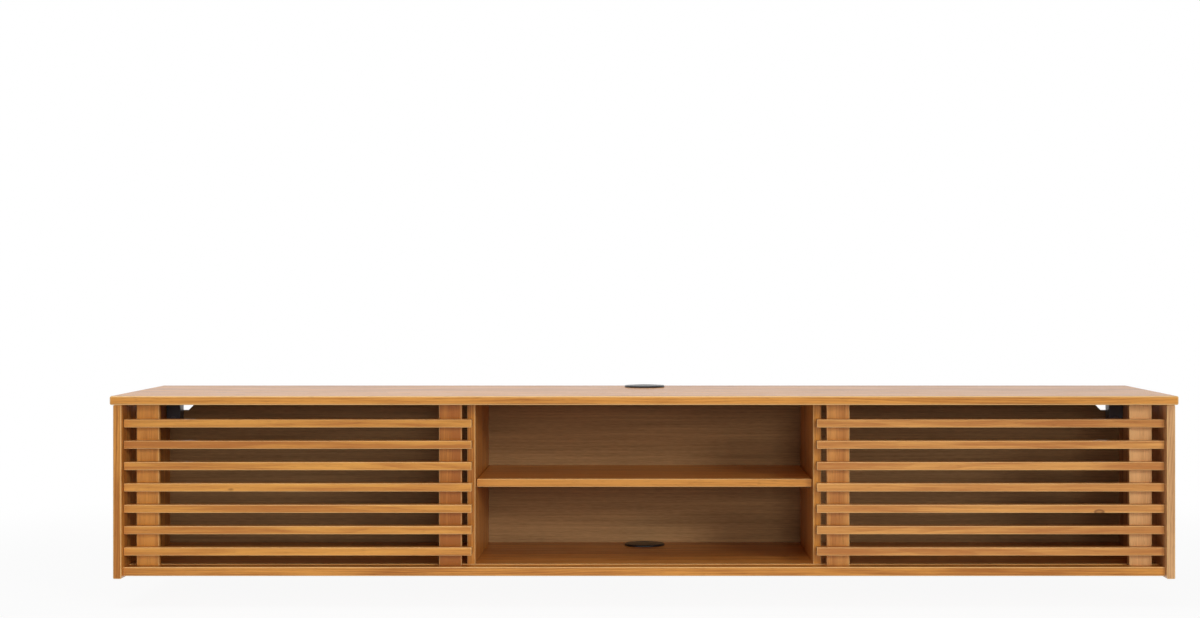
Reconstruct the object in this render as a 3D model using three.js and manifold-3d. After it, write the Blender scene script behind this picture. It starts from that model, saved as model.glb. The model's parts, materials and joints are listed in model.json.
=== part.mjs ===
// Wall-hung media console: three equal bays under one top, with a slatted sliding door on each
// outer bay and one shelf in the open centre bay.
// Lengths are millimetres. X runs along the wall, +Y points to the wall and +Z is up.
// The origin is the middle of the console's plan, level with the lower edges of the end panels.

import * as THREE from "three";
import { mergeVertices } from "three/addons/utils/BufferGeometryUtils.js";
import Module from "manifold-3d";

const wasm = await Module();
wasm.setup();

// Overall size, measured over the top panel and down to the end panels' feet
const WIDTH = 1778;
const DEPTH = 394;
const HEIGHT = 305;

// Carcass boards: the top and bottom are of one thickness, the ends, dividers and shelf of another.
// The end and bottom panels stand back from the front face of the top panel, the dividers from the
// door tracks and the shelf from the dividers.
const BOARD = 15;
const SLIM_BOARD = 14;
const END_OVERHANG = 4.5;
const END_SETBACK = 5;
const BOTTOM_SETBACK = 16;
const BOTTOM_RISE = 3.5;
const DIVIDER_SETBACK = 4;
const DIVIDER_HOUSING = 3;
const SHELF_SETBACK = 18;
const SHELF_RISE = 128;
const SHELF_END_GAP = 0.8;
const SHELF_REAR_GAP = 2;
const TOP_ARRIS = 3;
const BOARD_ARRIS = 2;
const FIT = 0.3;

// Back panel, held in a groove of the boards around it
const BACK_THICKNESS = 4;
const BACK_RECESS = 20;
const BACK_TONGUE = 6;
const BACK_NOTCH_WIDTH = 46;
const BACK_NOTCH_HEIGHT = 29;
const BACK_NOTCH_CHAMFER = 12;

// Fixings of the carcass and the shelf
const DOWEL_RADIUS = 3;
const DOWEL_IN_FACE = 10;
const DOWEL_IN_EDGE = 14;
const DOWEL_INSET = 60;
const PIN_RADIUS = 2.5;
const PIN_IN_DIVIDER = 8;
const PIN_UNDER_SHELF = 8;
const PIN_INSET = 45;
const BLIND_END_GAP = 0.5;

// Sliding doors, which run in one track of the top panel and one of the bottom panel
const TRACK_LAND = 26;
const TRACK_WIDTH = 16;
const LOWER_TRACK_DEPTH = 7;
const UPPER_TRACK_DEPTH = 10;
const UPPER_ENGAGEMENT = 3;
const TRACK_PLAY = 0.5;
const SLAT_COUNT = 7;
const SLAT_HEIGHT = 13.5;
const SLAT_DEPTH = 24;
const SLAT_ARRIS = 1.5;
const LOWEST_SLAT_GAP = 19;
const HIGHEST_SLAT_GAP = 25;
const DOOR_LAP = 11;
const DOOR_END_GAP = 0.8;
const STILE_WIDTH = 38.5;
const STILE_OUTER_INSET = 15.5;
const STILE_INNER_INSET = 18.5;
const STILE_ARRIS = 2;
const GLIDE_INSET = 3;
const GLIDE_PAD = 2;
const GLIDE_STEM_INSET = 8;
const GLIDE_STEM_WIDTH = 6;
const GLIDE_STEM_HEIGHT = 8;

// Cable grommets: a flanged sleeve with a turning cap
const GROMMET_HOLE_RADIUS = 30;
const GROMMET_FLANGE_WIDTH = 6;
const GROMMET_FLANGE_HEIGHT = 3.5;
const GROMMET_FLANGE_BEVEL = 1.5;
const GROMMET_SLEEVE_WALL = 2.5;
const GROMMET_SLEEVE_LENGTH = 13;
const GROMMET_REAR_GAP = 8;
const CAP_LAP = 2;
const CAP_RIM = 1.5;
const CAP_CROWN = 1.5;
const CAP_PLAY = 0.5;
const CAP_SKIRT_WALL = 2;
const CAP_SKIRT_HEIGHT = 6;
const CABLE_SLOT_WIDTH = 18;
const CABLE_SLOT_REACH = 18;

// Cabinet hangers: a plastic housing on the end panel, a steel hook in it and a plate on the wall
const HANGER_WIDTH = 25;
const HANGER_DEPTH = 32;
const HANGER_HEIGHT = 50;
const HANGER_TOP_GAP = 1;
const HANGER_WALL = 2;
const HANGER_ARRIS = 1.5;
const SPIGOT_RADIUS = 5;
const SPIGOT_LENGTH = 9;
const SPIGOT_INSET = 12;
const HOOK_WIDTH = 10;
const HOOK_BODY_DEPTH = 18;
const HOOK_BODY_TOP_GAP = 3;
const HOOK_ARM_HEIGHT = 10;
const HOOK_BEARING_DROP = 1.5;
const HOOK_PLAY = 1;
const HOOK_TIP_DROP = 8;
const SCREW_RADIUS = 2.5;
const SCREW_HEAD_RADIUS = 4;
const SCREW_HEAD_HEIGHT = 3;
const SCREW_SLOT_WIDTH = 1.2;
const SCREW_SLOT_DEPTH = 1.5;
const SCREW_LENGTH = 22;
const DEPTH_SCREW_DROP = 6;
const HEIGHT_SCREW_RISE = 8.5;
const PLATE_THICKNESS = 2;
const PLATE_WIDTH = 30;
const PLATE_END_GAP = 2;
const PLATE_HEIGHT = 50;
const PLATE_STAND_OFF = 6;
const PLATE_LIP_HEIGHT = 11;
const PLATE_HOLE_RADIUS = 2.75;
const PLATE_HOLE_SPACING = 16;
const PLATE_HOLE_RISE = 12;

// Facets of the rounded forms, and how far a cutting tool runs past what it cuts
const TOP_ARRIS_STEPS = 3;
const ARRIS_STEPS = 1;
const ROD_SIDES = 12;
const SPIGOT_SIDES = 16;
const GROMMET_SIDES = 36;
const OVERRUN = 2;

// Planes and places worked out from the sizes above
const FRONT_Y = -DEPTH / 2;
const WALL_Y = DEPTH / 2;
const CEILING_Z = HEIGHT - BOARD;
const FLOOR_Z = BOTTOM_RISE + BOARD;
const END_OUTER_X = WIDTH / 2 - END_OVERHANG;
const END_INNER_X = END_OUTER_X - SLIM_BOARD;
const BAY_WIDTH = (2 * END_INNER_X - 2 * SLIM_BOARD) / 3;
const DIVIDER_INNER_X = BAY_WIDTH / 2;
const DIVIDER_OUTER_X = DIVIDER_INNER_X + SLIM_BOARD;
const BACK_REAR_Y = WALL_Y - BACK_RECESS;
const BACK_FRONT_Y = BACK_REAR_Y - BACK_THICKNESS;
const SHELF_UNDER_Z = FLOOR_Z + SHELF_RISE;
const TRACK_FRONT_Y = FRONT_Y + BOTTOM_SETBACK + TRACK_LAND;
const TRACK_REAR_Y = TRACK_FRONT_Y + TRACK_WIDTH;
const DIVIDER_FRONT_Y = TRACK_REAR_Y + DIVIDER_SETBACK;
const SHELF_FRONT_Y = DIVIDER_FRONT_Y + SHELF_SETBACK;
const SHELF_REAR_Y = BACK_FRONT_Y - SHELF_REAR_GAP;
const LOWER_TRACK_Z = FLOOR_Z - LOWER_TRACK_DEPTH;
const UPPER_TRACK_Z = CEILING_Z + UPPER_TRACK_DEPTH;
const FLANGE_RADIUS = GROMMET_HOLE_RADIUS + GROMMET_FLANGE_WIDTH;
const CAP_RADIUS = GROMMET_HOLE_RADIUS + CAP_LAP;
const GROMMET_Y = BACK_FRONT_Y - GROMMET_REAR_GAP - FLANGE_RADIUS;
const DOWEL_YS = { front: FRONT_Y + END_SETBACK + DOWEL_INSET, rear: BACK_FRONT_Y - DOWEL_INSET };
const PIN_YS = { front: SHELF_FRONT_Y + PIN_INSET, rear: SHELF_REAR_Y - PIN_INSET };
const SIDES = { left: -1, right: 1 };

// Heights in a grommet, measured from the face of the panel that it stands in
const SLEEVE_BORE_RADIUS = GROMMET_HOLE_RADIUS - GROMMET_SLEEVE_WALL;
const CAP_UNDER_Z = GROMMET_FLANGE_HEIGHT - CAP_RIM;
const LEDGE_Z = CAP_UNDER_Z - FIT;

// Places in a hanger, worked out from the end panel, the back panel and the top panel
const HANGER_OUTER_X = END_INNER_X - FIT;
const HANGER_INNER_X = HANGER_OUTER_X - HANGER_WIDTH;
const HANGER_X = (HANGER_OUTER_X + HANGER_INNER_X) / 2;
const HANGER_REAR_Y = BACK_FRONT_Y - FIT;
const HANGER_FRONT_Y = HANGER_REAR_Y - HANGER_DEPTH;
const HANGER_TOP_Z = CEILING_Z - HANGER_TOP_GAP;
const HANGER_LOW_Z = HANGER_TOP_Z - HANGER_HEIGHT;
const HEIGHT_SCREW_Z = HANGER_LOW_Z + HEIGHT_SCREW_RISE;
const HOOK_BODY_TOP_Z = HANGER_TOP_Z - HANGER_WALL - HOOK_BODY_TOP_GAP;
const HOOK_BODY_LOW_Z = HEIGHT_SCREW_Z + SCREW_RADIUS + FIT;
const HOOK_BODY_REAR_Y = HANGER_REAR_Y - HANGER_WALL;
const HOOK_BODY_FRONT_Y = HOOK_BODY_REAR_Y - HOOK_BODY_DEPTH;
const HOOK_ARM_LOW_Z = CEILING_Z - BACK_NOTCH_HEIGHT + FIT;
const DEPTH_SCREW_Z = HOOK_BODY_TOP_Z - DEPTH_SCREW_DROP;

const HONEY_WOOD = new THREE.MeshStandardMaterial({ color: 0xc98a48, roughness: 0.5, metalness: 0 });
const BROWN_WOOD = new THREE.MeshStandardMaterial({ color: 0x7a5332, roughness: 0.6, metalness: 0 });
const BEECH = new THREE.MeshStandardMaterial({ color: 0xd9b98a, roughness: 0.7, metalness: 0 });
const BLACK_PLASTIC = new THREE.MeshStandardMaterial({ color: 0x1a1b1e, roughness: 0.4, metalness: 0 });
const NYLON = new THREE.MeshStandardMaterial({ color: 0xe6e2d8, roughness: 0.5, metalness: 0 });
const STEEL = new THREE.MeshStandardMaterial({ color: 0xb4b6b8, roughness: 0.35, metalness: 1 });

// The two directions that a section is drawn in, for each axis that it is drawn out along
const X_DIRECTION = new THREE.Vector3(1, 0, 0);
const Y_DIRECTION = new THREE.Vector3(0, 1, 0);
const Z_DIRECTION = new THREE.Vector3(0, 0, 1);
const SECTION_BASES = {
  x: [Y_DIRECTION, Z_DIRECTION, X_DIRECTION],
  y: [Z_DIRECTION, X_DIRECTION, Y_DIRECTION],
  z: [X_DIRECTION, Y_DIRECTION, Z_DIRECTION],
};

// A closed geometry as a solid that can be cut and joined
function solidOf(geometry) {
  const bare = geometry.clone();
  bare.deleteAttribute("normal");
  bare.deleteAttribute("uv");
  const merged = mergeVertices(bare);
  return new wasm.Manifold(new wasm.Mesh({
    numProp: 3,
    vertProperties: merged.attributes.position.array,
    triVerts: new Uint32Array(merged.index.array),
  }));
}

function geometryOf(solid) {
  const { vertProperties, triVerts } = solid.getMesh();
  const geometry = new THREE.BufferGeometry();
  geometry.setAttribute("position", new THREE.BufferAttribute(vertProperties, 3));
  geometry.setIndex(new THREE.BufferAttribute(triVerts, 1));
  geometry.computeVertexNormals();
  return geometry;
}

// A section drawn out along an axis. It is drawn in (y, z) for x, (z, x) for y and (x, y) for z.
function prism(axis, section, from, to, curveSegments = ARRIS_STEPS) {
  const geometry = new THREE.ExtrudeGeometry(section, { depth: to - from, bevelEnabled: false, curveSegments });
  geometry.translate(0, 0, from);
  geometry.applyMatrix4(new THREE.Matrix4().makeBasis(...SECTION_BASES[axis]));
  return solidOf(geometry);
}

function rectangle([lowA, lowB], [highA, highB], radius = 0) {
  const shape = new THREE.Shape();
  if (radius === 0) {
    shape.moveTo(lowA, lowB).lineTo(highA, lowB).lineTo(highA, highB).lineTo(lowA, highB);
    return shape;
  }
  shape.absarc(highA - radius, lowB + radius, radius, -Math.PI / 2, 0);
  shape.absarc(highA - radius, highB - radius, radius, 0, Math.PI / 2);
  shape.absarc(lowA + radius, highB - radius, radius, Math.PI / 2, Math.PI);
  shape.absarc(lowA + radius, lowB + radius, radius, Math.PI, 3 * Math.PI / 2);
  return shape;
}

// A sharp-edged block between two corners
function block([x0, y0, z0], [x1, y1, z1]) {
  return prism("z", rectangle([x0, y0], [x1, y1]), z0, z1);
}

// A block with its twelve arrises rounded: what three drawn-out round-cornered sections share
function easedBlock([x0, y0, z0], [x1, y1, z1], radius, steps = ARRIS_STEPS) {
  const alongX = prism("x", rectangle([y0, z0], [y1, z1], radius), x0, x1, steps);
  const alongY = prism("y", rectangle([z0, x0], [z1, x1], radius), y0, y1, steps);
  const alongZ = prism("z", rectangle([x0, y0], [x1, y1], radius), z0, z1, steps);
  return alongX.intersect(alongY).intersect(alongZ);
}

// A round rod along an axis, with its centre given in the two section directions
function rod(axis, [centreA, centreB], radius, from, to, sides = ROD_SIDES) {
  const circle = new THREE.Shape().absarc(centreA, centreB, radius, 0, 2 * Math.PI);
  return prism(axis, circle, from, to, sides);
}

// The same stretch on the left or right side, lowest value first
function mirrored(side, near, far) {
  return side < 0 ? [-far, -near] : [near, far];
}

function piece(name, solid, material) {
  const mesh = new THREE.Mesh(geometryOf(solid), material);
  mesh.name = name;
  return mesh;
}

// The slot that the back panel's edge stands in, as one block round its tongue
function backGroove() {
  const reach = BACK_TONGUE + FIT;
  return block(
    [-END_INNER_X - reach, BACK_FRONT_Y - FIT, FLOOR_Z - reach],
    [END_INNER_X + reach, BACK_REAR_Y + FIT, CEILING_Z + reach],
  );
}

// The housing that holds a divider's upper and lower ends, as one block round the divider
function dividerHousing(side) {
  const [x0, x1] = mirrored(side, DIVIDER_INNER_X - FIT, DIVIDER_OUTER_X + FIT);
  const reach = DIVIDER_HOUSING + FIT;
  return block(
    [x0, DIVIDER_FRONT_Y - FIT, FLOOR_Z - reach],
    [x1, BACK_FRONT_Y, CEILING_Z + reach],
  );
}

// A dowel between an end panel and the top or bottom panel. Loosened, it is the hole for itself.
function dowel(side, level, y, loose = 0) {
  const radius = DOWEL_RADIUS + loose;
  const inFace = DOWEL_IN_FACE + (loose > 0 ? BLIND_END_GAP : 0);
  const inEdge = DOWEL_IN_EDGE + (loose > 0 ? BLIND_END_GAP : 0);
  if (level === "top") {
    const x = side * (END_INNER_X + SLIM_BOARD / 2);
    return rod("z", [x, y], radius, CEILING_Z - inEdge, CEILING_Z + inFace);
  }
  const [x0, x1] = mirrored(side, END_INNER_X - inEdge, END_INNER_X + inFace);
  return rod("x", [y, BOTTOM_RISE + BOARD / 2], radius, x0, x1);
}

function dowelHoles(side, level) {
  return Object.values(DOWEL_YS).map((y) => dowel(side, level, y, FIT));
}

// A pin under the shelf, let into a divider. Loosened, it is the hole for itself.
function shelfPin(side, y, loose = 0) {
  const inDivider = PIN_IN_DIVIDER + (loose > 0 ? BLIND_END_GAP : 0);
  const [x0, x1] = mirrored(side, DIVIDER_INNER_X - PIN_UNDER_SHELF, DIVIDER_INNER_X + inDivider);
  const z = SHELF_UNDER_Z - FIT - PIN_RADIUS;
  return rod("x", [y, z], PIN_RADIUS + loose, x0, x1);
}

function cutAll(solid, cutters) {
  return cutters.reduce((rest, cutter) => rest.subtract(cutter), solid);
}

function topPanel() {
  const board = easedBlock(
    [-WIDTH / 2, FRONT_Y, CEILING_Z],
    [WIDTH / 2, WALL_Y, HEIGHT],
    TOP_ARRIS,
    TOP_ARRIS_STEPS,
  );
  const track = block(
    [-END_INNER_X, TRACK_FRONT_Y, CEILING_Z - OVERRUN],
    [END_INNER_X, TRACK_REAR_Y, UPPER_TRACK_Z],
  );
  const grommetHole = rod(
    "z",
    [0, GROMMET_Y],
    GROMMET_HOLE_RADIUS + FIT,
    CEILING_Z - OVERRUN,
    HEIGHT + OVERRUN,
    GROMMET_SIDES,
  );
  const housings = Object.values(SIDES).map(dividerHousing);
  const holes = Object.values(SIDES).flatMap((side) => dowelHoles(side, "top"));
  return cutAll(board, [track, grommetHole, backGroove(), ...housings, ...holes]);
}

function bottomPanel() {
  const half = END_INNER_X - FIT;
  const board = easedBlock(
    [-half, FRONT_Y + BOTTOM_SETBACK, BOTTOM_RISE],
    [half, WALL_Y, FLOOR_Z],
    BOARD_ARRIS,
  );
  const track = block(
    [-END_INNER_X - OVERRUN, TRACK_FRONT_Y, LOWER_TRACK_Z],
    [END_INNER_X + OVERRUN, TRACK_REAR_Y, FLOOR_Z + OVERRUN],
  );
  const grommetHole = rod(
    "z",
    [0, GROMMET_Y],
    GROMMET_HOLE_RADIUS + FIT,
    BOTTOM_RISE - OVERRUN,
    FLOOR_Z + OVERRUN,
    GROMMET_SIDES,
  );
  const housings = Object.values(SIDES).map(dividerHousing);
  const holes = Object.values(SIDES).flatMap((side) => dowelHoles(side, "bottom"));
  return cutAll(board, [track, grommetHole, backGroove(), ...housings, ...holes]);
}

function endPanel(side) {
  const [x0, x1] = mirrored(side, END_INNER_X, END_OUTER_X);
  const board = easedBlock(
    [x0, FRONT_Y + END_SETBACK, 0],
    [x1, WALL_Y, CEILING_Z - FIT],
    BOARD_ARRIS,
  );
  const holes = [...dowelHoles(side, "top"), ...dowelHoles(side, "bottom")];
  return cutAll(board, [backGroove(), ...holes, ...spigots(side, FIT)]);
}

function divider(side) {
  const [x0, x1] = mirrored(side, DIVIDER_INNER_X, DIVIDER_OUTER_X);
  const board = easedBlock(
    [x0, DIVIDER_FRONT_Y, FLOOR_Z - DIVIDER_HOUSING],
    [x1, BACK_FRONT_Y - FIT, CEILING_Z + DIVIDER_HOUSING],
    BOARD_ARRIS,
  );
  return cutAll(board, Object.values(PIN_YS).map((y) => shelfPin(side, y, FIT)));
}

function centreShelf() {
  const half = DIVIDER_INNER_X - SHELF_END_GAP;
  return easedBlock(
    [-half, SHELF_FRONT_Y, SHELF_UNDER_Z],
    [half, SHELF_REAR_Y, SHELF_UNDER_Z + SLIM_BOARD],
    BOARD_ARRIS,
  );
}

// The back panel, with the upper corners cut away so that the hanger hooks reach the wall
function backPanel() {
  const halfWidth = END_INNER_X + BACK_TONGUE;
  const lowZ = FLOOR_Z - BACK_TONGUE;
  const highZ = CEILING_Z + BACK_TONGUE;
  const notchX = END_INNER_X - BACK_NOTCH_WIDTH;
  const notchZ = CEILING_Z - BACK_NOTCH_HEIGHT;
  const outline = new THREE.Shape();
  outline.moveTo(lowZ, -halfWidth);
  outline.lineTo(lowZ, halfWidth);
  outline.lineTo(notchZ, halfWidth);
  outline.lineTo(notchZ, notchX + BACK_NOTCH_CHAMFER);
  outline.lineTo(notchZ + BACK_NOTCH_CHAMFER, notchX);
  outline.lineTo(highZ, notchX);
  outline.lineTo(highZ, -notchX);
  outline.lineTo(notchZ + BACK_NOTCH_CHAMFER, -notchX);
  outline.lineTo(notchZ, -notchX - BACK_NOTCH_CHAMFER);
  outline.lineTo(notchZ, -halfWidth);
  return prism("y", outline, BACK_FRONT_Y, BACK_REAR_Y);
}

function carcass() {
  const group = new THREE.Group();
  group.add(piece("top_panel", topPanel(), HONEY_WOOD));
  group.add(piece("bottom_panel", bottomPanel(), HONEY_WOOD));
  group.add(piece("centre_shelf", centreShelf(), HONEY_WOOD));
  group.add(piece("back_panel", backPanel(), BROWN_WOOD));
  for (const [sideName, side] of Object.entries(SIDES)) {
    group.add(piece(`${sideName}_end_panel`, endPanel(side), HONEY_WOOD));
    group.add(piece(`${sideName}_divider`, divider(side), HONEY_WOOD));
    for (const [place, y] of Object.entries(DOWEL_YS)) {
      group.add(piece(`${sideName}_top_${place}_dowel`, dowel(side, "top", y), BEECH));
      group.add(piece(`${sideName}_bottom_${place}_dowel`, dowel(side, "bottom", y), BEECH));
    }
    for (const [place, y] of Object.entries(PIN_YS)) {
      group.add(piece(`${sideName}_${place}_shelf_pin`, shelfPin(side, y), STEEL));
    }
  }
  return group;
}

// One slat, centred on its own middle
function slat(length) {
  return easedBlock(
    [-length / 2, -SLAT_DEPTH / 2, -SLAT_HEIGHT / 2],
    [length / 2, SLAT_DEPTH / 2, SLAT_HEIGHT / 2],
    SLAT_ARRIS,
  );
}

// A glide: a pad that runs on the track's floor under a stem let into the stile's lower end.
// Its own origin is the middle of the pad's underside. Loosened, the stem is its own mortise.
function glideStem(loose = 0) {
  const halfLength = STILE_WIDTH / 2 - GLIDE_STEM_INSET + loose;
  const halfWidth = GLIDE_STEM_WIDTH / 2 + loose;
  return block(
    [-halfLength, -halfWidth, GLIDE_PAD / 2],
    [halfLength, halfWidth, GLIDE_PAD + GLIDE_STEM_HEIGHT + loose],
  );
}

function glide(width) {
  const halfLength = STILE_WIDTH / 2 - GLIDE_INSET;
  const pad = block([-halfLength, -width / 2, 0], [halfLength, width / 2, GLIDE_PAD]);
  return pad.add(glideStem());
}

// A stile, with its origin where its glide has its own
function stile(thickness, length) {
  const foot = GLIDE_PAD + FIT;
  const bar = easedBlock(
    [-STILE_WIDTH / 2, -thickness / 2, foot],
    [STILE_WIDTH / 2, thickness / 2, foot + length],
    STILE_ARRIS,
  );
  return bar.subtract(glideStem(FIT));
}

// A door: slats in front of two stiles whose ends stand in the tracks
function door(sideName, side) {
  const group = new THREE.Group();
  const innerX = DIVIDER_OUTER_X - DOOR_LAP;
  const outerX = END_INNER_X - DOOR_END_GAP;
  const stileThickness = TRACK_WIDTH - 2 * TRACK_PLAY;
  const stileFrontY = TRACK_FRONT_Y + TRACK_PLAY;
  const stileFootZ = LOWER_TRACK_Z + FIT;
  const stileLength = CEILING_Z + UPPER_ENGAGEMENT - stileFootZ - GLIDE_PAD - FIT;
  const lowestZ = FLOOR_Z + LOWEST_SLAT_GAP + SLAT_HEIGHT / 2;
  const highestZ = CEILING_Z - HIGHEST_SLAT_GAP - SLAT_HEIGHT / 2;
  const pitch = (highestZ - lowestZ) / (SLAT_COUNT - 1);
  for (let index = 0; index < SLAT_COUNT; index += 1) {
    const bar = piece(`${sideName}_door_slat_${index + 1}`, slat(outerX - innerX), HONEY_WOOD);
    bar.position.set(
      side * (innerX + outerX) / 2,
      stileFrontY - FIT - SLAT_DEPTH / 2,
      highestZ - index * pitch,
    );
    group.add(bar);
  }
  const stileXs = {
    outer: outerX - STILE_OUTER_INSET - STILE_WIDTH / 2,
    inner: innerX + STILE_INNER_INSET + STILE_WIDTH / 2,
  };
  for (const [place, x] of Object.entries(stileXs)) {
    const upright = new THREE.Group();
    upright.add(piece(`${sideName}_door_${place}_stile`, stile(stileThickness, stileLength), HONEY_WOOD));
    upright.add(piece(`${sideName}_door_${place}_glide`, glide(stileThickness), NYLON));
    upright.position.set(side * x, stileFrontY + stileThickness / 2, stileFootZ);
    group.add(upright);
  }
  return group;
}

// A closed profile turned about Z, given as (radius, height) points
function turned(points) {
  const profile = points.map(([radius, height]) => new THREE.Vector2(radius, height));
  const geometry = new THREE.LatheGeometry(profile, GROMMET_SIDES);
  geometry.rotateX(Math.PI / 2);
  return solidOf(geometry);
}

function grommetSleeve() {
  const seatRadius = CAP_RADIUS + CAP_PLAY;
  return turned([
    [SLEEVE_BORE_RADIUS, -GROMMET_SLEEVE_LENGTH],
    [GROMMET_HOLE_RADIUS, -GROMMET_SLEEVE_LENGTH],
    [GROMMET_HOLE_RADIUS, FIT],
    [FLANGE_RADIUS, FIT],
    [FLANGE_RADIUS, GROMMET_FLANGE_HEIGHT - GROMMET_FLANGE_BEVEL],
    [FLANGE_RADIUS - GROMMET_FLANGE_BEVEL, GROMMET_FLANGE_HEIGHT],
    [seatRadius, GROMMET_FLANGE_HEIGHT],
    [seatRadius, LEDGE_Z],
    [SLEEVE_BORE_RADIUS, LEDGE_Z],
    [SLEEVE_BORE_RADIUS, -GROMMET_SLEEVE_LENGTH],
  ]);
}

// The cap: a low crown with a skirt that turns in the sleeve, open at the rear for the cables
function grommetCap() {
  const skirtOuter = SLEEVE_BORE_RADIUS - CAP_PLAY;
  const skirtInner = skirtOuter - CAP_SKIRT_WALL;
  const skirtZ = CAP_UNDER_Z - CAP_SKIRT_HEIGHT;
  const crownShares = [0.94, 0.7, 0.36];
  const crown = crownShares.map((share) => [
    CAP_RADIUS * share,
    GROMMET_FLANGE_HEIGHT + CAP_CROWN * (1 - share ** 2),
  ]);
  const disc = turned([
    [0, CAP_UNDER_Z],
    [skirtInner, CAP_UNDER_Z],
    [skirtInner, skirtZ],
    [skirtOuter, skirtZ],
    [skirtOuter, CAP_UNDER_Z],
    [CAP_RADIUS, CAP_UNDER_Z],
    [CAP_RADIUS, GROMMET_FLANGE_HEIGHT],
    ...crown,
    [0, GROMMET_FLANGE_HEIGHT + CAP_CROWN],
  ]);
  const innerEnd = CAP_RADIUS - CABLE_SLOT_REACH + CABLE_SLOT_WIDTH / 2;
  const slot = new THREE.Shape();
  slot.absarc(0, innerEnd, CABLE_SLOT_WIDTH / 2, Math.PI, 2 * Math.PI);
  slot.lineTo(CABLE_SLOT_WIDTH / 2, CAP_RADIUS + OVERRUN);
  slot.lineTo(-CABLE_SLOT_WIDTH / 2, CAP_RADIUS + OVERRUN);
  const highest = GROMMET_FLANGE_HEIGHT + CAP_CROWN + OVERRUN;
  return disc.subtract(prism("z", slot, skirtZ - OVERRUN, highest, ROD_SIDES / 2));
}

function grommet(name, faceZ) {
  const group = new THREE.Group();
  group.add(piece(`${name}_grommet_sleeve`, grommetSleeve(), BLACK_PLASTIC));
  group.add(piece(`${name}_grommet_cap`, grommetCap(), BLACK_PLASTIC));
  group.position.set(0, GROMMET_Y, faceZ);
  return group;
}

// The two studs that pin a housing to its end panel. Loosened, they are the holes for themselves.
function spigots(side, loose = 0) {
  const y = (HANGER_FRONT_Y + HANGER_REAR_Y) / 2;
  const length = SPIGOT_LENGTH + (loose > 0 ? BLIND_END_GAP : 0);
  const [x0, x1] = mirrored(side, HANGER_OUTER_X - HANGER_WALL / 2, END_INNER_X + length);
  return [HANGER_LOW_Z + SPIGOT_INSET, HANGER_TOP_Z - SPIGOT_INSET].map(
    (z) => rod("x", [y, z], SPIGOT_RADIUS + loose, x0, x1, SPIGOT_SIDES),
  );
}

// The housing: a box open towards the wall, with a hole in front of each screw
function hangerHousing(side) {
  const [x0, x1] = mirrored(side, HANGER_INNER_X, HANGER_OUTER_X);
  const shell = easedBlock(
    [x0, HANGER_FRONT_Y, HANGER_LOW_Z],
    [x1, HANGER_REAR_Y, HANGER_TOP_Z],
    HANGER_ARRIS,
  );
  const hollow = block(
    [x0 + HANGER_WALL, HANGER_FRONT_Y + HANGER_WALL, HANGER_LOW_Z + HANGER_WALL],
    [x1 - HANGER_WALL, HANGER_REAR_Y + OVERRUN, HANGER_TOP_Z - HANGER_WALL],
  );
  const screwHoles = [DEPTH_SCREW_Z, HEIGHT_SCREW_Z].map((z) => rod(
    "y",
    [z, side * HANGER_X],
    SCREW_HEAD_RADIUS + FIT,
    HANGER_FRONT_Y - OVERRUN,
    HANGER_FRONT_Y + HANGER_WALL + OVERRUN,
    SPIGOT_SIDES,
  ));
  const walls = cutAll(shell, [hollow, ...screwHoles]);
  return spigots(side).reduce((whole, stud) => whole.add(stud), walls);
}

// A slotted screw along Y whose head lies flush with the housing's front
function hangerScrew(side, z) {
  const centre = [z, side * HANGER_X];
  const headRear = HANGER_FRONT_Y + SCREW_HEAD_HEIGHT;
  const head = rod("y", centre, SCREW_HEAD_RADIUS, HANGER_FRONT_Y, headRear, SPIGOT_SIDES);
  const shank = rod(
    "y",
    centre,
    SCREW_RADIUS,
    HANGER_FRONT_Y + SCREW_SLOT_DEPTH,
    HANGER_FRONT_Y + SCREW_LENGTH,
  );
  const slot = block(
    [side * HANGER_X - SCREW_HEAD_RADIUS - OVERRUN, HANGER_FRONT_Y - OVERRUN, z - SCREW_SLOT_WIDTH / 2],
    [side * HANGER_X + SCREW_HEAD_RADIUS + OVERRUN, HANGER_FRONT_Y + SCREW_SLOT_DEPTH, z + SCREW_SLOT_WIDTH / 2],
  );
  return head.add(shank).subtract(slot);
}

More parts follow.
